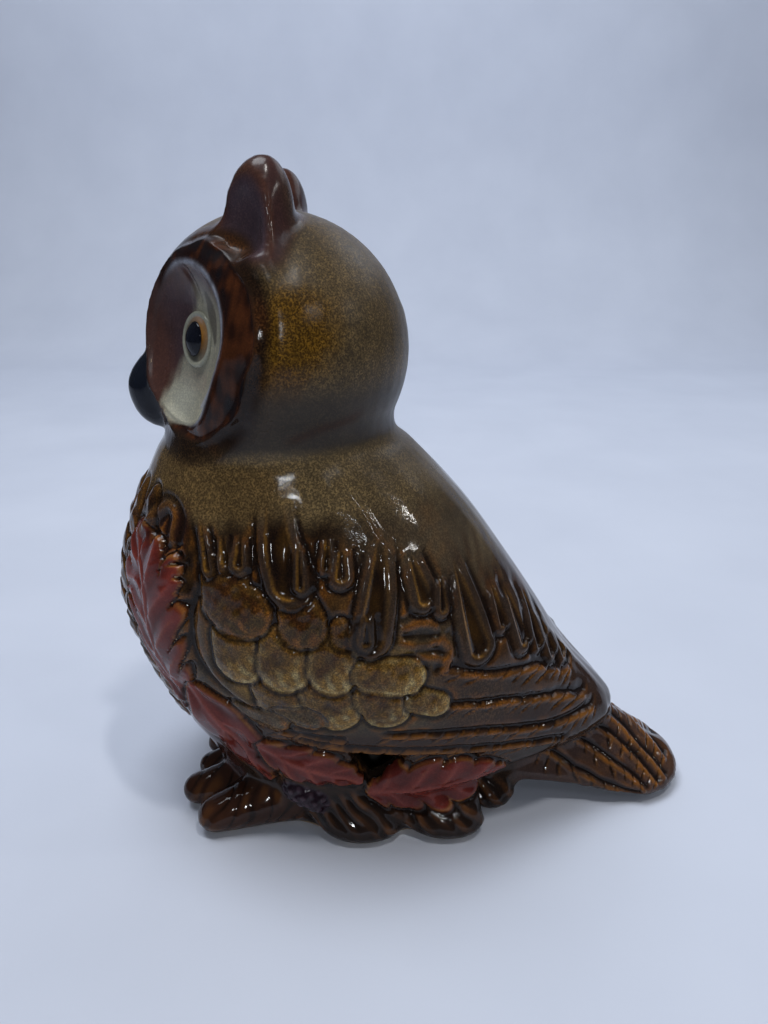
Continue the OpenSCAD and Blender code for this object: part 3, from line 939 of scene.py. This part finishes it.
def tint_zones(skin):
    """The big areas of glaze, before any feather is drawn"""
    y, z = skin.y, skin.z
    drift = waves(skin, EVERYWHERE, 14, 3)
    patch = waves(skin, EVERYWHERE, 4.2, 7) + 0.5 * waves(skin, EVERYWHERE, 1.9, 8)
    body = ramp(z, 147, 141)

    # The head: a golden patch on each side, a warm cheek behind the disc and a smoky jaw
    gold = ramp(np.hypot((y + 38) / 12, (z - 181) / 15) + 0.12 * patch, 1.35, 0.55)
    gold = np.maximum(gold, 0.7 * ramp(np.hypot((y + 50) / 9, (z - 166) / 14), 1.4, 0.6))
    skin.paint(gold * ramp(skin.n[:, 2], 0.8, 0.35) * 0.85, GOLD)
    cheek = np.hypot((y + 44) / 9, (z - 166) / 6) + 0.15 * patch
    skin.paint(ramp(cheek, 1.4, 0.7) * 0.5, CHEEK)
    skin.paint(ramp(z, 170, 159) * (1 - body) * 0.85, JAW)
    skin.speckle *= 1 - 0.6 * ramp(z, 168, 160) * (1 - body)

    # The neck and the shoulders down to the feathers
    skin.paint(body * 0.8, KHAKI)
    near_front = ramp(y, -34, -50) * ramp(z, 146, 138) * ramp(z, 118, 128)
    skin.paint(near_front * 0.6, THROAT)
    streak = ramp(y, -44, -38) * ramp(y, -16, -22) * ridge(z - 153 - 0.3 * (y + 29) + 0.5 * drift, 1.7)
    skin.paint(streak * 0.9, NECK_STREAK)
    shoulder = ramp(z + 3 * drift, 130, 119) * ramp(y, 24, 8)
    skin.paint(shoulder * 0.97, BROWN)
    skin.paint(shoulder * unit(patch * 0.9 - 0.05), SHOULDER_WARM)
    skin.paint(shoulder * unit(-patch * 0.9 + 0.1), DARK)

    # The back, where the brown runs down in streaks
    rear = ramp(y + 0.4 * (z - 100), 4, 22) * body
    streaks = waves(skin, EVERYWHERE, (2.4, 2.4, 30.0), 9)
    skin.paint(body * ramp(y, -34, -6) * 0.6, BACK)
    skin.paint(rear * ramp(z + 7 * streaks, 118, 92) * 0.95, UMBER)
    skin.paint(rear * ramp(z, 110, 90) * unit(patch * 0.6) * 0.5, ORANGE)

    # The ground of the covert feathers, then what is below and in front of it
    low = ramp(z + 4 * drift, 92, 84) * ramp(y, 8, -6) * ramp(z, 46, 52)
    skin.paint(low * 0.95, MOTTLE)
    skin.paint(low * unit(-patch) * 0.8, DARK)
    skin.paint(ramp(y + 2 * drift, -4, 10) * ramp(z, 88, 76) * 0.9, BEHIND_COVERTS)
    skin.paint(low * ramp(y, -56, -64) * 0.85, FLANK)
    smoky = ramp(z, 63, 57) * ramp(z, 45, 49) * ramp(y, 14, 2)
    skin.paint(smoky * 0.85, BELLY_SMOKE)
    skin.paint(ramp(z, 58, 50) * body * 0.95, UMBER)
    skin.paint(ramp(z, 42, 35) * 0.9, SKIRT)
    front = ramp(skin.front, 60, 54) * body * ramp(z, 132, 120)
    skin.paint(front * 0.92, BREAST)

    # Where edges break to orange, where grains show, and where the glaze is dull
    skin.breaks = np.maximum(0.85 * shoulder, 0.55 * ramp(z, 132, 120)) * ramp(z, 3, 8)
    skin.speckle *= 1 - 0.35 * shoulder - 0.45 * ramp(z, 60, 50)
    skin.speckle *= 1 - 0.6 * rear
    skin.matt += 0.56 * ramp(z + 0.25 * (y + 40), 134, 148)
    skin.matt *= 1 - 0.5 * gold
    skin.speckle *= 1 + 0.2 * gold


def draw_face(skin):
    """The dished facial discs with their pale ridge line and mottled brown bevel"""
    # Each point's place across, up and out of the disc, and its distance to the rim and to the ridge line
    q = skin.folded - HEAD_C
    across, up, out = q @ DISC_SIDE, q @ DISC_UP, q @ DISC_OUT
    rim_sd, _, _ = stroke(across, up, [(0, 1.5, 28.5), (0, -7.5, 27)])
    line_sd, _, _ = stroke(across, up, [(-5.5, 2.5, 21.0), (-9.0, -12.0, 19.0)])

    # The wall behind the disc, with painted shade in the seam at its foot, which is also cut deeper
    side_wall = ramp(rim_sd, 7.0, 2.0) * ramp(out, DISC_SEAT - 9, DISC_SEAT - 1)
    skin.matt *= 1 - side_wall
    skin.paint(side_wall * 0.95, DISC_WALL)
    wall_drift = waves(skin, EVERYWHERE, 5, 43)
    skin.paint(side_wall * unit(wall_drift) * 0.7, DISC_WALL_WARM)
    seam = ridge(rim_sd - 2.6, 1.6) * ramp(out, DISC_SEAT - 16, DISC_SEAT - 12)
    seam = seam * ramp(out, DISC_SEAT - 2, DISC_SEAT - 4) * ramp(up, 16, 8)
    skin.height -= 1.0 * seam
    # painted shade in the seam
    skin.paint(seam * 0.9, INK)

    # The disc's relief: a dish inside the ridge line, and a bevel that falls away outside it
    on_disc = (rim_sd < 0.6) & (out > DISC_SEAT - 0.5)
    rows = np.nonzero(on_disc)[0]
    a, b, o = across[rows], up[rows], out[rows]
    line, rim = line_sd[rows], rim_sd[rows]
    outer = ramp(a + 0.35 * b, -16, 4)
    crest = DISC_SEAT + 2.4 + 2.4 * outer
    reach = np.where(a > DISH_ACROSS, REACH_OUTWARDS, REACH_INWARDS)
    rho = ((a - DISH_ACROSS) / reach) ** 2 + ((b - DISH_UP) / REACH_UP) ** 2
    floor = DISH_BOTTOM + DISH_SLOPE * (a - DISH_ACROSS)
    dish = floor + (crest - floor) * unit(rho) ** 1.3
    inside = ramp(line, 0.3, -1.6)
    fall = ramp(line, 3.0, 11.0)
    drift = waves(skin, rows, 4.5, 41)
    small = waves(skin, rows, 1.8, 42)
    lip = crest + 0.5 * ridge(line - 2.6, 2.4) - fall * (crest - DISC_SEAT - 2.6)
    lip = lip + 0.35 * drift * ramp(line, 0, 3)
    crease = stroke(a, b, thin([(-9.5, 24), (-5, 19), (-1.5, 12.5)]))[0]
    target = dish * inside + lip * (1 - inside) - 0.6 * ridge(crease, 1.1) * inside
    hold = ramp(rim, 0.6, -1.6) * ramp(o, DISC_SEAT + 8.5, DISC_SEAT + 6.0)
    skin.shift[rows] = ((target - o) * hold)[:, None] * DISC_OUT * skin.flip[rows]
    skin.height[rows] *= 1 - hold
    skin.breaks[rows] *= 1 - hold

    # The bevel's mottle, then the plum and cream of the dish
    skin.paint(hold, BEVEL, rows)
    skin.paint(hold * unit(0.25 + 0.6 * drift + 0.6 * small) * ramp(line, -0.5, 1.5) * 0.9, COPPER, rows)
    skin.paint(hold * ramp(line, 1, 4) * unit(-drift - 0.4 * small - 0.1), INK, rows)
    plate = hold * np.maximum(inside, ramp(a + 0.2 * b, -17, -22))
    skin.paint(plate, FACE_PLUM, rows)
    skin.paint(plate * ramp(a + 0.3 * b, -14, -24) * 0.6, FACE_INNER, rows)
    skin.paint(plate * ramp(b, 10, 22) * unit(0.6 + 0.4 * small) * 0.75, FACE_BROW, rows)
    split = np.maximum(-8 + np.where(b > 0, 0.25, 0.60) * b, -19) + 1.2 * small
    pale = ramp(a - split, -3.0, 3.5) * ramp(b + 0.3 * a, 21, 11)
    skin.paint(plate * pale * 0.92, FACE_CREAM, rows)
    wedge = stroke(a, b, [(3.5, 14, 1.2), (7.0, 8, 3.2), (9.0, 1, 1.4)])[0]
    skin.paint(plate * ramp(wedge, 0.8, -0.8) * 0.75, FACE_WEDGE, rows)
    blush = stroke(a, b, [(-9, -13, 1.5), (2, -12.5, 1.5)])[0]
    skin.paint(plate * ridge(blush, 2.0) * 0.35, BLUSH, rows)
    low_pale = ridge(np.hypot((a + 10) / 11, (b + 21) / 9), 1.0)
    skin.paint(plate * unit(low_pale * 1.1) * pale, FACE_PALE, rows)
    skin.paint(hold * ridge(line - 0.1, 0.75) * outer * unit(0.9 + 0.4 * small), FACE_LINE, rows)
    drip = stroke(a, b, [(10.5, -12, 0.8), (8.0, -17, 1.8), (4.5, -20, 0.6)])[0]
    skin.paint(hold * ramp(drip, 0.6, -0.4) * 0.85, FACE_LINE, rows)
    skin.speckle[rows] = 0.3
    skin.matt[rows] = skin.matt[rows] * (1 - hold) + (0.16 + 0.3 * ramp(a, -16, -22)) * plate

    # The rim's uneven outline, and its tuck under the chin
    spin = np.arctan2(up, across)
    ripple = 0.9 * np.sin(5 * spin + 0.6) + 0.6 * np.sin(9 * spin + 2.0)
    standing = ramp(out, DISC_SEAT - 5, DISC_SEAT + 0.5)
    edge = ridge(rim_sd + 0.5, 3.2) * standing * ramp(across, -14, 2)
    tuck = 3.6 * ramp(-up, 13, 30) * ramp(rim_sd, -11, -1) * ramp(rim_sd, 4, 1.5) * standing
    turned = np.cos(spin)[:, None] * DISC_SIDE + np.sin(spin)[:, None] * DISC_UP
    skin.shift += (ripple * edge - tuck)[:, None] * turned * skin.flip

    # Painted shade under the disc, kept glossy, and dull glaze at the ear's root and between the discs
    under = ridge(np.hypot((skin.y + 64) / 15, (skin.z - 155) / 6.5), 1.0)
    under = under * ramp(skin.x, 12, 20) * (1 - standing)
    jaw = unit(2.2 * under - 0.3)
    # painted shade under the disc
    skin.paint(jaw * 0.95, JAW_SHADE)
    skin.matt *= 1 - jaw
    trough = ramp(np.linalg.norm(skin.folded - EAR_ROOT, axis=1), 11, 6)
    inner_edge = ramp(across, -18, -23) * ramp(np.abs(rim_sd), 6, 3) * (out > DISC_SEAT - 8)
    skin.matt = np.maximum(skin.matt, 0.5 * np.maximum(trough, inner_edge))


def draw_ears(skin):
    near = ramp(pair_distance("ear", skin.p), 5.0, 0.5) * ramp(skin.z, 196, 203)
    patch = waves(skin, EVERYWHERE, 5, 51)
    skin.paint(near, EAR)
    skin.paint(near * unit(0.7 * patch), EAR_WARM)
    hollow = np.linalg.norm((skin.folded - EAR_HOLLOW[0]) / EAR_HOLLOW[1], axis=1)
    above = near * ramp(skin.z, EAR_FLOOR - 3, EAR_FLOOR + 1)
    skin.paint(ramp(hollow, 1.10, 1.0) * above, PLUM)
    skin.paint(ridge(hollow - 1.16, 0.06) * above * 0.6, EAR_RIM)
    skin.speckle *= 1 - 0.7 * near
    dull = 0.13 + 0.15 * ramp(skin.z, 214, 224) + 0.3 * ramp(skin.z, 211, 205)
    blend(skin.matt, EVERYWHERE, near, dull)


def draw_beak(skin):
    bulge = (np.linalg.norm((skin.p - BEAK_BULGE[0]) / BEAK_BULGE[1], axis=1) - 1) * BEAK_BULGE[1][0]
    near = ramp(np.minimum(sample(FIELDS["beak"], skin.p), bulge), 1.8, 0.6)
    skin.paint(near, BEAK)
    skin.speckle *= 1 - 0.9 * near
    skin.matt *= 1 - near


def draw_tail(skin):
    """Long overlapping tail feathers, parted by dark grooves, with slanting barbs"""
    depth = sample(FIELDS["tail"], skin.p)
    cover = ramp(depth, 2.4, 0.8) * ramp(skin.y, 32, 42) * (skin.z < 42)
    drift = waves(skin, EVERYWHERE, 5, 71)
    skin.height *= 1 - cover
    skin.paint(cover, TAIL_GLAZE)
    skin.paint(cover * unit(0.45 * drift), TAIL_WARM)
    blend(skin.breaks, EVERYWHERE, cover, 0.7)
    blend(skin.speckle, EVERYWHERE, cover, 0.3)
    skin.open_to_draw = (cover > 0.3) & (skin.n[:, 2] > -0.4) & (skin.y > 44)
    drop = TAIL_UP * skin.z - TAIL_ASIDE * skin.x
    for k, path in enumerate(TAIL_VANES):
        vane(skin, drop, path, k + 20, reach=9.0 if k == len(TAIL_VANES) - 1 else 6.0, slope=-0.7)


def draw_base(skin):
    """Mottled toes and a skirt of ribbed lobes round the foot"""
    y, z = skin.y, skin.z
    drift = waves(skin, EVERYWHERE, 6, 81)
    small = waves(skin, EVERYWHERE, 2.6, 82)
    low = ramp(z, 27, 20) * ramp(y, 34, 26)
    skin.height *= 1 - low * (skin.breaks < 0.45)

    # How far each point belongs to a foot or to the lobes
    foot = ramp(pair_distance("foot", skin.p), 1.8, 0.4) * ramp(z, 30, 26)
    lobes = ramp(pair_distance("base_lobes", skin.p), 2.0, 0.4)
    lobes = np.maximum(lobes, low * (y > -46) * 0.999) * (1 - foot) * (z < 30)
    lobes *= ramp(z + 0.25 * np.abs(y + 6), 28, 23)
    skin.paint(lobes, LOBE)
    skin.paint(foot, TOE)

    # Slanting ribs on the lobes
    phase = (y + 0.9 * z) / 6.6 + 0.22 * drift
    rib = np.abs(np.sin(np.pi * phase)) ** 2
    shown = lobes * ramp(z, 2.5, 6) * unit(0.55 + 0.6 * drift)
    skin.height += 0.9 * shown * (rib - 0.5)
    skin.paint(shown * ramp(rib, 0.40, 0.85) * unit(0.7 + 0.5 * small) * 0.9, LOBE_RIB)
    skin.paint(shown * ramp(rib, 0.4, 0.05) * 0.8, DARK)

    # Dark and amber bars across the toes
    toe = foot * ramp(z, 2, 6)
    bars = np.abs(np.sin(np.pi * ((y - 0.5 * z) / 6.0 + 0.5 * drift)))
    skin.height += 0.25 * toe * bars
    skin.paint(toe * ramp(bars, 0.5, 0.95) * unit(0.2 + drift + 0.3 * small) * 0.8, TOE_BAR)
    skin.paint(toe * ramp(bars, 0.45, 0.1) * unit(0.7 - 0.7 * drift) * 0.9, DARK)

    # Acorn bumps with painted highlights on their tops, then painted shade above the bare rim that the figure
    # stands on
    acorn = ramp(pair_distance("acorn", skin.p), 1.6, 0.4)
    skin.paint(acorn, ACORN)
    berries = np.abs(np.sin(0.95 * (y + 0.5 * z)) * np.sin(0.95 * (z - 0.3 * y)))
    skin.height += 0.7 * acorn * (berries - 0.4)
    # painted highlight on the top of each bump
    skin.paint(acorn * ramp(berries, 0.45, 0.9) * 0.8, ACORN_HIGHLIGHT)
    skin.speckle *= 1 - 0.7 * np.maximum(low, acorn)
    skin.breaks *= 1 - np.maximum(low, acorn)
    rim = ramp(z, 2.4, 1.6)
    # painted shade along the bottom edge, just above the bare rim
    skin.paint(ramp(z, 4.5, 1.5) * low * 0.8, DARK)
    skin.paint(rim, CLAY)
    skin.matt += np.maximum(rim, 0.7 * ramp(z, 5, 2))


def draw_all(skin, edges):
    tint_zones(skin)
    side_on = ramp(np.abs(skin.n[:, 0]), 0.12, 0.35)
    skin.open_to_draw = (side_on > 0.01) & (skin.z < 140) & (skin.z > 12)
    wing_edge(skin)
    for k, path in enumerate(VANES):
        vane(skin, skin.z, path, k)
    for path in SCALES_LOW + SCALES_MID:
        scale(skin, skin.y, path)
    for path in SCALES_TOP:
        scale(skin, skin.y, path, TOP_COVERT, AMBER, dark=0.9)
    for path in LOW_TIPS:
        scale(skin, skin.y, path, LOW_TIP, AMBER, 0.9, 0.3)
    for path in RIDGES:
        line_relief(skin, path, 0.5, 0.15)
    for path in TONGUES + INNER_TONGUES:
        tongue(skin, path)
    rows, sd, t, _ = skin.trace(skin.y, skin.z, thin(SHOULDER_FOLD))
    skin.height[rows] += 0.55 * ridge(sd, 1.5) * ramp(t, 0, 0.2) * ramp(t, 1, 0.8)
    skin.height *= side_on
    draw_tail(skin)
    draw_base(skin)
    skin.open_to_draw = (skin.z > 10) & (skin.z < 135)
    for row in range(BREAST_ROWS):
        z = BREAST_LOW + row * BREAST_STEP
        first = 0.5 * BREAST_WIDTH * (row % 2)
        for k in range(3):
            middle = first + k * BREAST_WIDTH
            path = [(middle, z + 9, 4.0), (middle, z, 0.5 * BREAST_WIDTH)]
            scale(skin, skin.front, path, BREAST_FEATHER, AMBER, 0.8, 0.7)
    leaf(skin, skin.front, CHEST_LEAF, 7, skew=1.5, depth=0.5)
    line_relief(skin, NECK_LOOP)
    skin.open_to_draw &= np.abs(skin.n[:, 0]) > 0.15
    leaf(skin, skin.y, LOWER_LEAF, 2, depth=0.14)
    leaf(skin, skin.y, FRONT_SIDE_LEAF, 4)
    leaf(skin, skin.y, REAR_SIDE_LEAF, 5)
    draw_ears(skin)
    draw_face(skin)
    draw_beak(skin)
    ripple_colour(skin, edges)


# ---------------------------------------------------------------- pieces
def remove_hidden_faces(points, normals, quads):
    """Opens the slot, the side openings and the underside into the hollow: the faces that the cuts
    left inside the walls, each set in a box a little bigger than its cut"""
    middle = points[quads].mean(axis=1)
    facing = normals[quads].mean(axis=1)
    depth = (np.linalg.norm((middle - HEAD_C) / HEAD_R, axis=1) - 1) * HEAD_R.min()
    x, y, z = np.abs(middle[:, 0]), middle[:, 1], middle[:, 2]
    in_slot = (x < 4) & (np.abs(y - SLOT_Y) < 19) & (z > 170) & (depth < -WALL - 1)
    in_side = (x < 37) & (np.abs(y + 14) < 13) & (np.abs(z - 33) < 10)
    in_foot = (x < 36.5) & (y > -57.5) & (y < 23.5) & (z > 5.5) & (z < 11) & (facing[:, 2] < -0.6)
    return ~(in_slot | in_side | in_foot)


# Faces in the smallest patch that stays a piece of its own
SPECK = 60


def tidy_labels(label, edge_faces, count, kinds):
    """Rounds off the borders between pieces and gives specks to the piece round them"""
    for _ in range(4):
        votes = np.zeros((count, kinds))
        votes[np.arange(count), label] = 1.5
        np.add.at(votes, (edge_faces[:, 0], label[edge_faces[:, 1]]), 1)
        np.add.at(votes, (edge_faces[:, 1], label[edge_faces[:, 0]]), 1)
        label = votes.argmax(axis=1)
    for _ in range(3):
        island = islands(count, edge_faces[label[edge_faces[:, 0]] == label[edge_faces[:, 1]]])
        small = np.bincount(island, minlength=count)[island] < SPECK
        if not small.any():
            break
        votes = np.zeros((count, kinds))
        for a, b in ((0, 1), (1, 0)):
            outside = label[edge_faces[:, a]] != label[edge_faces[:, b]]
            pairs = edge_faces[outside]
            np.add.at(votes, (island[pairs[:, a]], label[pairs[:, b]]), 1)
        label = np.where(small, votes[island].argmax(axis=1), label)
    return label


def make_mesh(name, points, loops, starts, normals, attributes, material):
    """A Blender object from flat arrays: corner indices, where each face starts, and a normal per
    corner, which is left to Blender where it is zero"""
    mesh = bpy.data.meshes.new(name)
    mesh.vertices.add(len(points))
    mesh.vertices.foreach_set("co", (points * MM).astype(np.float32).ravel())
    mesh.loops.add(len(loops))
    mesh.loops.foreach_set("vertex_index", loops.astype(np.int32))
    mesh.polygons.add(len(starts))
    mesh.polygons.foreach_set("loop_start", starts.astype(np.int32))
    mesh.update(calc_edges=True)
    mesh.shade_smooth()
    for key, values in attributes.items():
        kind = "FLOAT_COLOR" if values.ndim == 2 else "FLOAT"
        made = mesh.attributes.new(key, kind, "POINT")
        if values.ndim == 2:
            values = np.concatenate([values, np.ones((len(values), 1))], axis=1)
            made.data.foreach_set("color", values.astype(np.float32).ravel())
        else:
            made.data.foreach_set("value", values.astype(np.float32))
    mesh.materials.append(material)
    if normals is not None:
        mesh.normals_split_custom_set(normals.astype(np.float32))
    piece = bpy.data.objects.new(name, mesh)
    bpy.context.scene.collection.objects.link(piece)
    return piece


def stand_in(piece, node):
    """The piece takes a node's place and body: it joins the figure and the node is hidden"""
    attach(piece, "figure")
    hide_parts(node)


def thickness(name):
    if "shell" in name:
        return SHELL_T
    return DISC_T if "disc" in name else FINE_T


def cut_pieces(coarse, fine, names, label, keep, field, skin, material):
    """Cuts the skin into closed pieces that meet edge to edge, each with its own inner face"""
    points, quads, normals, edges, face_edges = coarse
    fine_points, fine_quads, fine_normals = fine
    n = len(points)
    for k, name in enumerate(names):
        faces = np.nonzero((label == k) & keep)[0]
        if not len(faces):
            continue
        outer = fine_quads.reshape(-1, 4, 4)[faces].reshape(-1, 4)
        used_out = np.unique(outer)
        used_in = np.unique(quads[faces])
        to_out = np.full(len(fine_points), -1)
        to_out[used_out] = np.arange(len(used_out))
        to_in = np.full(n, -1)
        to_in[used_in] = np.arange(len(used_in)) + len(used_out)
        thick = thickness(name)
        deep = -sample(field, points[used_in] - thick * normals[used_in])
        moved = np.linalg.norm(fine_points[used_in] - points[used_in], axis=1)
        turned = ramp(moved, 1.0, 2.0)[:, None]
        inward = normals[used_in] * (1 - turned) + fine_normals[used_in] * turned
        inner_points = fine_points[used_in] - np.clip(deep, LEAST_T, thick / (1 + moved))[:, None] * inward
        own_edges = face_edges[faces]
        uses = np.bincount(own_edges.ravel(), minlength=len(edges))
        border = uses[own_edges] == 1
        f, c = np.nonzero(border)
        a = quads[faces[f], c]
        b = quads[faces[f], (c + 1) % 4]
        m = own_edges[f, c] + n
        wall = np.stack([to_out[b], to_out[m], to_out[a], to_in[a], to_in[b]], axis=1)
        inner = to_in[quads[faces][:, ::-1]]
        loops = np.concatenate([to_out[outer].ravel(), inner.ravel(), wall.ravel()])
        quad_count = len(outer) + len(inner)
        starts = np.concatenate([np.arange(quad_count) * 4, quad_count * 4 + np.arange(len(wall)) * 5])
        corner_normals = np.zeros((len(loops), 3))
        corner_normals[:outer.size] = fine_normals[outer.ravel()]
        blank = len(used_in)
        attributes = {
            "glaze": np.concatenate([skin.colour[used_out], np.tile(np.array(CLAY), (blank, 1))]),
            "speckle": np.concatenate([skin.speckle[used_out], np.zeros(blank)]),
            "matt": np.concatenate([skin.matt[used_out], np.ones(blank)])}
        all_points = np.concatenate([fine_points[used_out], inner_points])
        piece = make_mesh(name + "_glazed", all_points, loops, starts, corner_normals, attributes, material)
        stand_in(piece, name)


def lathe(name, profile, axis_frame, colour_of, material, segments=96):
    """A closed turned piece round an axis frame: profile is (radius, height) from the middle of its
    back to the middle of its front"""
    centre, side, up, out = axis_frame
    rings = [p for p in profile if p[0] > 0]
    turn = 2 * np.pi * np.arange(segments) / segments
    points, colours = [], []
    for radius, height in rings:
        spokes = np.cos(turn)[:, None] * side + np.sin(turn)[:, None] * up
        points.append(centre + out * height + radius * spokes)
        colours.append(np.array([colour_of(radius, height, t) for t in turn]))
    points += [centre[None] + out * profile[0][1], centre[None] + out * profile[-1][1]]
    colours += [np.array([colour_of(0, profile[0][1], 0)]), np.array([colour_of(0, profile[-1][1], 0)])]
    here = np.arange(segments)
    ahead = (here + 1) % segments
    count = len(rings) * segments
    back_fan = np.stack([ahead, here, np.full(segments, count)], axis=1)
    last = (len(rings) - 1) * segments
    front_fan = np.stack([last + here, last + ahead, np.full(segments, count + 1)], axis=1)
    walls = [np.stack([r * segments + here, r * segments + ahead, (r + 1) * segments + ahead,
                       (r + 1) * segments + here], axis=1) for r in range(len(rings) - 1)]
    if np.dot(np.cross(side, up), out) < 0:
        back_fan, front_fan = back_fan[:, ::-1], front_fan[:, ::-1]
        walls = [w[:, ::-1] for w in walls]
    loops = np.concatenate([back_fan.ravel(), front_fan.ravel()] + [w.ravel() for w in walls])
    quads = sum(len(w) for w in walls)
    starts = np.concatenate([np.arange(2 * segments) * 3, 6 * segments + np.arange(quads) * 4])
    points = np.concatenate(points)
    attributes = {"glaze": np.concatenate(colours), "speckle": np.full(len(points), 0.2),
                  "matt": np.zeros(len(points))}
    return make_mesh(name, points, loops, starts, None, attributes, material)


def arc(centre, radius, first, last, steps):
    """Points of an arc in a lathe profile, by angle in degrees"""
    angles = np.radians(np.linspace(first, last, steps))
    return [(centre[0] + radius * math.cos(a), centre[1] + radius * math.sin(a)) for a in angles]


def eye_colour(radius, height, turn):
    """Cream ring, then an iris that runs from amber at the top to dark brown below"""
    ring = float(ramp(radius, 6.7, 7.2))
    top = 0.5 + 0.5 * math.sin(turn + 0.6)
    iris = np.array(DARK) * (1 - top ** 2) + np.array(IRIS) * top ** 2
    return iris * (1 - ring) + np.array(EYE_CREAM) * ring


def pupil_colour(radius, height, turn):
    return np.array(PUPIL)


def build_eyes(material):
    seat = DISH_BOTTOM + 0.6
    ring = [(0.0, seat - 1.5), (8.8, seat - 1.5), *arc((8.2, seat + 0.9), 0.6, -10, 100, 6),
            (7.4, seat + 1.35), (6.9, seat + 1.0), (3.0, seat + 1.0), (0.0, seat + 1.0)]
    dome_r, dome_h = 5.5, 2.3
    ball = (dome_r ** 2 + dome_h ** 2) / (2 * dome_h)
    start = math.degrees(math.acos(dome_r / ball))
    dome = [(0.0, seat + 0.6), (5.5, seat + 0.6), *arc((0, seat + 1.1 + dome_h - ball), ball, start, 88, 12),
            (0.0, seat + 1.1 + dome_h)]
    for side, word in zip((1, -1), SIDES):
        flip = np.array((side, 1, 1))
        out = DISC_OUT * math.cos(EYE_TURN) - DISC_SIDE * math.sin(EYE_TURN)
        across = DISC_SIDE * math.cos(EYE_TURN) + DISC_OUT * math.sin(EYE_TURN)
        place = HEAD_C + DISC_SIDE * EYE_PLACE[0] + DISC_UP * EYE_PLACE[1] + DISC_OUT * seat - out * seat
        axes = (place * flip, across * flip, DISC_UP * flip, out * flip)
        eye = lathe(f"eye_ring_{word}_glazed", ring, axes, eye_colour, material)
        pupil_axes = (axes[0] - PUPIL_SHIFT * axes[1], PUPIL_NARROW * axes[1], *axes[2:])
        pupil = lathe(f"pupil_{word}_glazed", dome, pupil_axes, pupil_colour, material)
        stand_in(eye, f"eye_ring_{word}")
        stand_in(pupil, f"pupil_{word}")


def rubber_material():
    s = Shader("soft_rubber")
    wear = s.remap(s.noise(300, 3.0, 0.6), 0.35, 0.7)
    s.set(Base_Color=s.mix(wear, (0.018, 0.018, 0.019), (0.045, 0.043, 0.042)))
    s.set(Roughness=s.remap(s.noise(700, 2.0, 0.5), 0.3, 0.7, 0.45, 0.7))
    s.set(Normal=s.bump(s.noise(900, 2.0, 0.5), 0.00004))
    return s.material


def biscuit_material():
    s = Shader("bare_clay")
    tone = s.remap(s.noise(180, 4.0, 0.6), 0.3, 0.7)
    stained = s.remap(s.noise(25, 3.0, 0.5), 0.4, 0.8)
    clay = s.mix(tone, (0.36, 0.25, 0.15), (0.50, 0.38, 0.25))
    s.set(Base_Color=s.mix(stained, clay, (0.25, 0.16, 0.09)), Roughness=0.85)
    s.set(Normal=s.bump(s.noise(1200, 3.0, 0.6), 0.00006))
    return s.material


def build_owl():
    material = glaze_material()
    field = fused_skin()
    points, quads = largest_part(*quads_of(field))
    points = relax(points, quads, 2)
    normals = point_normals(points, quads)
    fine_points, fine_quads, edges, face_edges = subdivide(points, quads)
    fine_normals = point_normals(fine_points, fine_quads)
    skin = Skin(fine_points, fine_normals)
    draw_all(skin, quad_edges(fine_quads)[0])
    fine_points = fine_points + skin.height[:, None] * fine_normals + skin.shift
    fine_points[:, 2] = np.maximum(fine_points[:, 2], TABLE_GAP)
    fine_normals = point_normals(fine_points, fine_quads)

    names = ["body_shell", *FLOW]
    middle = points[quads].mean(axis=1)
    near = np.stack([sample(FIELDS[name], middle) for name in names], axis=1)
    near[:, 0] += 0.4
    label = near.argmin(axis=1)
    order = np.argsort(face_edges.ravel(), kind="stable")
    owner = order // 4
    used = face_edges.ravel()[order]
    pair = np.nonzero(used[1:] == used[:-1])[0]
    edge_faces = np.stack([owner[pair], owner[pair + 1]], axis=1)
    label = tidy_labels(label, edge_faces, len(quads), len(names))
    keep = remove_hidden_faces(points, normals, quads)

    cut_pieces((points, quads, normals, edges, face_edges), (fine_points, fine_quads, fine_normals),
               names, label, keep, field, skin, material)
    build_eyes(material)
    NODES["stopper"].data.materials[0] = rubber_material()
    NODES["base_floor"].data.materials[0] = biscuit_material()


add_camera()
add_world()
add_sweep()
add_area("ceiling", (-0.05, -0.34, 1.6), (0.75, 0.85), 16.0, (0.90, 0.94, 1.0), (0, 0, 0.1))
add_area("lamp", (0.36, 0.22, 1.27), (0.06, 0.11), 3.0, WARM)
add_area("window", (1.18, -0.02, 0.68), (0.05, 0.07), 2.2, COOL)
add_area("doorway", (0.75, 0.70, 0.90), (0.025, 0.05), 0.55, COOL)
add_area("far_lamp", (0.15, 1.05, 0.78), (0.05, 0.03), 0.7, WARM)
add_area("sky", (-0.75, 0.80, 1.05), (0.9, 0.6), 2.4, (0.85, 0.92, 1.0))
add_area("backdrop_glow", (-0.75, 0.0, 1.6), (2.6, 0.4), 10.5, (0.88, 0.93, 1.0), (-1.5, 0.0, 1.15))
bpy.context.scene.view_settings.view_transform = "Standard"
build_owl()
